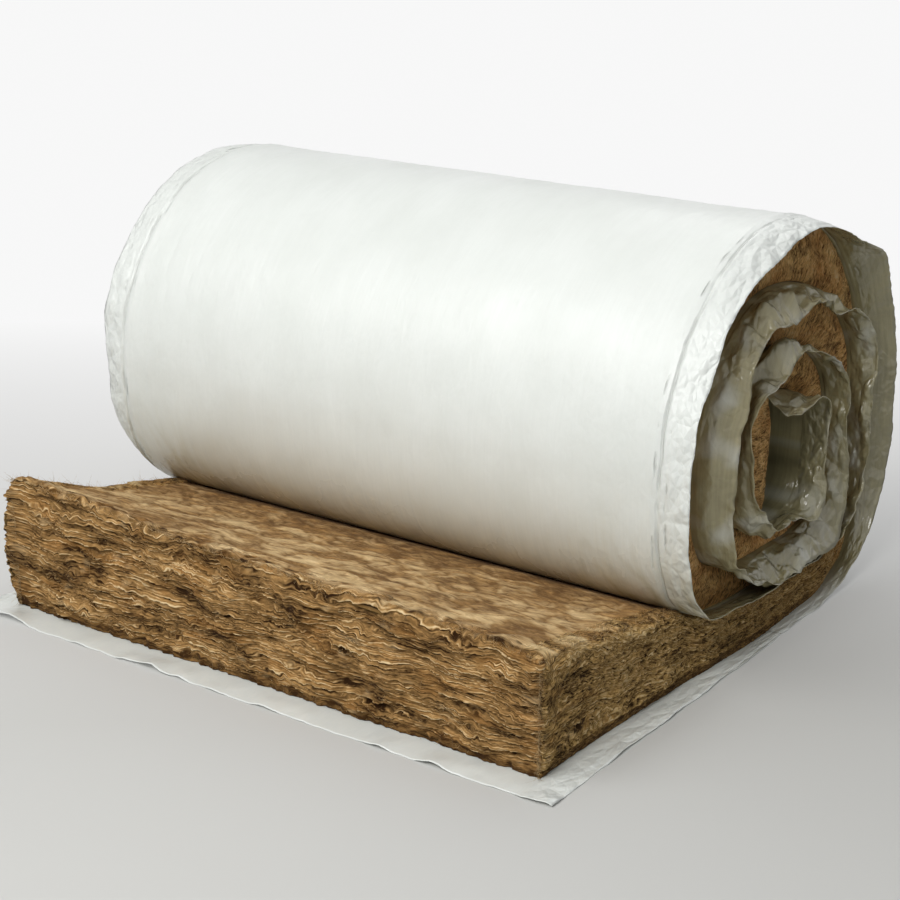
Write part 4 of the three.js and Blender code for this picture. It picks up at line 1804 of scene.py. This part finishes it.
@dataclass(frozen=True)
class Studio:
    """Floor, light and camera."""

    camera_place: tuple = (2.07440534, -2.8648502, 1.4922978)
    azimuth: float = 35.6
    elevation: float = 18.9
    lens: float = 77.2
    sensor: float = 36.0
    clip: tuple = (0.05, 200.0)
    floor_size: float = 60.0
    floor_lines: int = 9
    floor_colour: tuple = (0.62, 0.62, 0.60)
    floor_grain: tuple = (0.8, 0.8, 1.0)
    background: tuple = (0.935, 0.935, 0.935)
    away: tuple = (-0.582, 0.813)
    fade: tuple = (-0.6, 2.0)
    fade_round: tuple = (2.3, 5.0)
    surround: float = 0.15
    surround_colour: tuple = (0.96, 0.98, 1.0)
    target: tuple = (0.0, 0.0, 0.3)
    lamp_colour: tuple = (1.0, 0.995, 0.985)
    lamps: tuple = (
        ("key", (-1.4, -2.6, 3.4), 2.6, 60.0),
        ("front", (0.9, -3.4, 3.2), 2.0, 101.0),
        ("over", (0.0, 0.3, 4.0), 3.0, 22.0),
        ("back", (-0.5, 2.8, 3.4), 2.4, 18.0),
        ("side", (3.4, -0.6, 2.0), 2.0, 5.0),
    )

    @staticmethod
    def aim(thing: bpy.types.Object, place: tuple, way: Vector) -> None:
        """Puts a lamp or a camera in its place, facing a way."""
        thing.location = place
        thing.rotation_mode = "QUATERNION"
        thing.rotation_quaternion = way.to_track_quat("-Z", "Y")

    def camera(self) -> None:
        """Places the camera."""
        data = bpy.data.cameras.new("camera")
        data.lens, data.sensor_width = self.lens, self.sensor
        data.clip_start, data.clip_end = self.clip
        camera = linked("camera", data)
        a, e = math.radians(self.azimuth), math.radians(self.elevation)
        back = Vector((math.sin(a) * math.cos(e), -math.cos(a) * math.cos(e), math.sin(e)))
        self.aim(camera, self.camera_place, -back)
        bpy.context.scene.camera = camera

    def lights(self) -> None:
        """Adds the square soft lamps, which all face the object."""
        for name, place, size, power in self.lamps:
            data = bpy.data.lights.new(name, "AREA")
            data.shape, data.size, data.energy = "SQUARE", size, power
            data.color = self.lamp_colour
            self.aim(linked(name, data), place, Vector(self.target) - Vector(place))

    def world(self) -> None:
        """A plain pale surround, which the camera sees as the background."""
        world = bpy.data.worlds.new("surround")
        bpy.context.scene.world = world
        world.use_nodes = True
        nodes = Nodes(world.node_tree)
        base = world.node_tree.nodes["Background"]
        nodes.put(base.inputs["Color"], self.surround_colour)
        nodes.put(base.inputs["Strength"], self.surround)
        seen = nodes.add("ShaderNodeBackground", Color=self.background, Strength=1.0)
        mix = nodes.add("ShaderNodeMixShader", seen_rays(nodes), base.outputs[0], seen.outputs[0])
        nodes.put(world.node_tree.nodes["World Output"].inputs["Surface"], mix.outputs[0])

    def floor(self) -> None:
        """A large pale floor that fades into the background far from the object.

        The fade starts at a distance behind the object, seen from the camera, and at a
        distance all round it, whichever is more.
        """
        shell = Shell()
        line = np.linspace(-self.floor_size / 2, self.floor_size / 2, self.floor_lines)
        x, y = np.meshgrid(line, line, indexing="ij")
        points = np.stack([x, y, np.full_like(x, FLOOR_LEVEL)], axis=-1)
        shell.quads(shell.add(points, points[..., :2]))
        surface = Surface("studio floor")
        nodes, shader = surface.nodes, surface.shader
        where = nodes.add("ShaderNodeTexCoord").outputs["Object"]
        grain = nodes.noise(where, self.floor_grain)
        tone = nodes.remap(grain, 0.3, 0.7, 0.99, 1.01)
        colour = nodes.mix(1.0, self.floor_colour, tone, "MULTIPLY")
        for name, value in (("Base Color", colour), ("Roughness", 0.75),
                            ("Specular IOR Level", 0.2)):
            nodes.put(shader.inputs[name], value)
        split = nodes.add("ShaderNodeSeparateXYZ", where)
        behind = nodes.math("ADD", *(nodes.math("MULTIPLY", output, part)
                                     for output, part in zip(split.outputs, self.away)))
        out = nodes.add("ShaderNodeVectorMath", where, operation="LENGTH").outputs["Value"]
        far = nodes.math("MAXIMUM", nodes.remap(behind, *self.fade),
                         nodes.remap(out, *self.fade_round))
        share = nodes.math("MULTIPLY", far, seen_rays(nodes))
        glow = nodes.add("ShaderNodeEmission", Color=self.background)
        mix = nodes.add("ShaderNodeMixShader", share, shader.outputs[0], glow.outputs[0])
        out = surface.material.node_tree.nodes["Material Output"]
        nodes.put(out.inputs["Surface"], mix.outputs[0])
        shell.make("studio_floor", [surface.material])

    def build(self) -> None:
        """Makes the studio."""
        bpy.context.scene.view_settings.view_transform = "Standard"
        self.camera()
        self.lights()
        self.world()
        self.floor()


# ---- The whole -----------------------------------------------------------------------


def dress(piece: bpy.types.Object, node: str) -> bpy.types.Object:
    """Rides a piece on the body and hides the CAD node that it stands for."""
    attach(piece, "root")
    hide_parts(node)
    return piece


def main() -> None:
    """Builds every piece in order and reports it."""
    logging.basicConfig(level=logging.INFO, format="%(name)s %(message)s")
    section = Section()
    Studio().build()
    film = FacingFilm(section)
    sheets = film.build()
    for piece in sheets:
        dress(piece, FILM_NODE)
    film.declare(sheets)
    tail = WoolTail(section)
    pieces = [*tail.build(), *WoolBand(section, tail).build(), StrayFibres(section, tail).build()]
    for piece in pieces:
        dress(piece, WOOL_NODE)


if __name__ == "__main__":
    main()
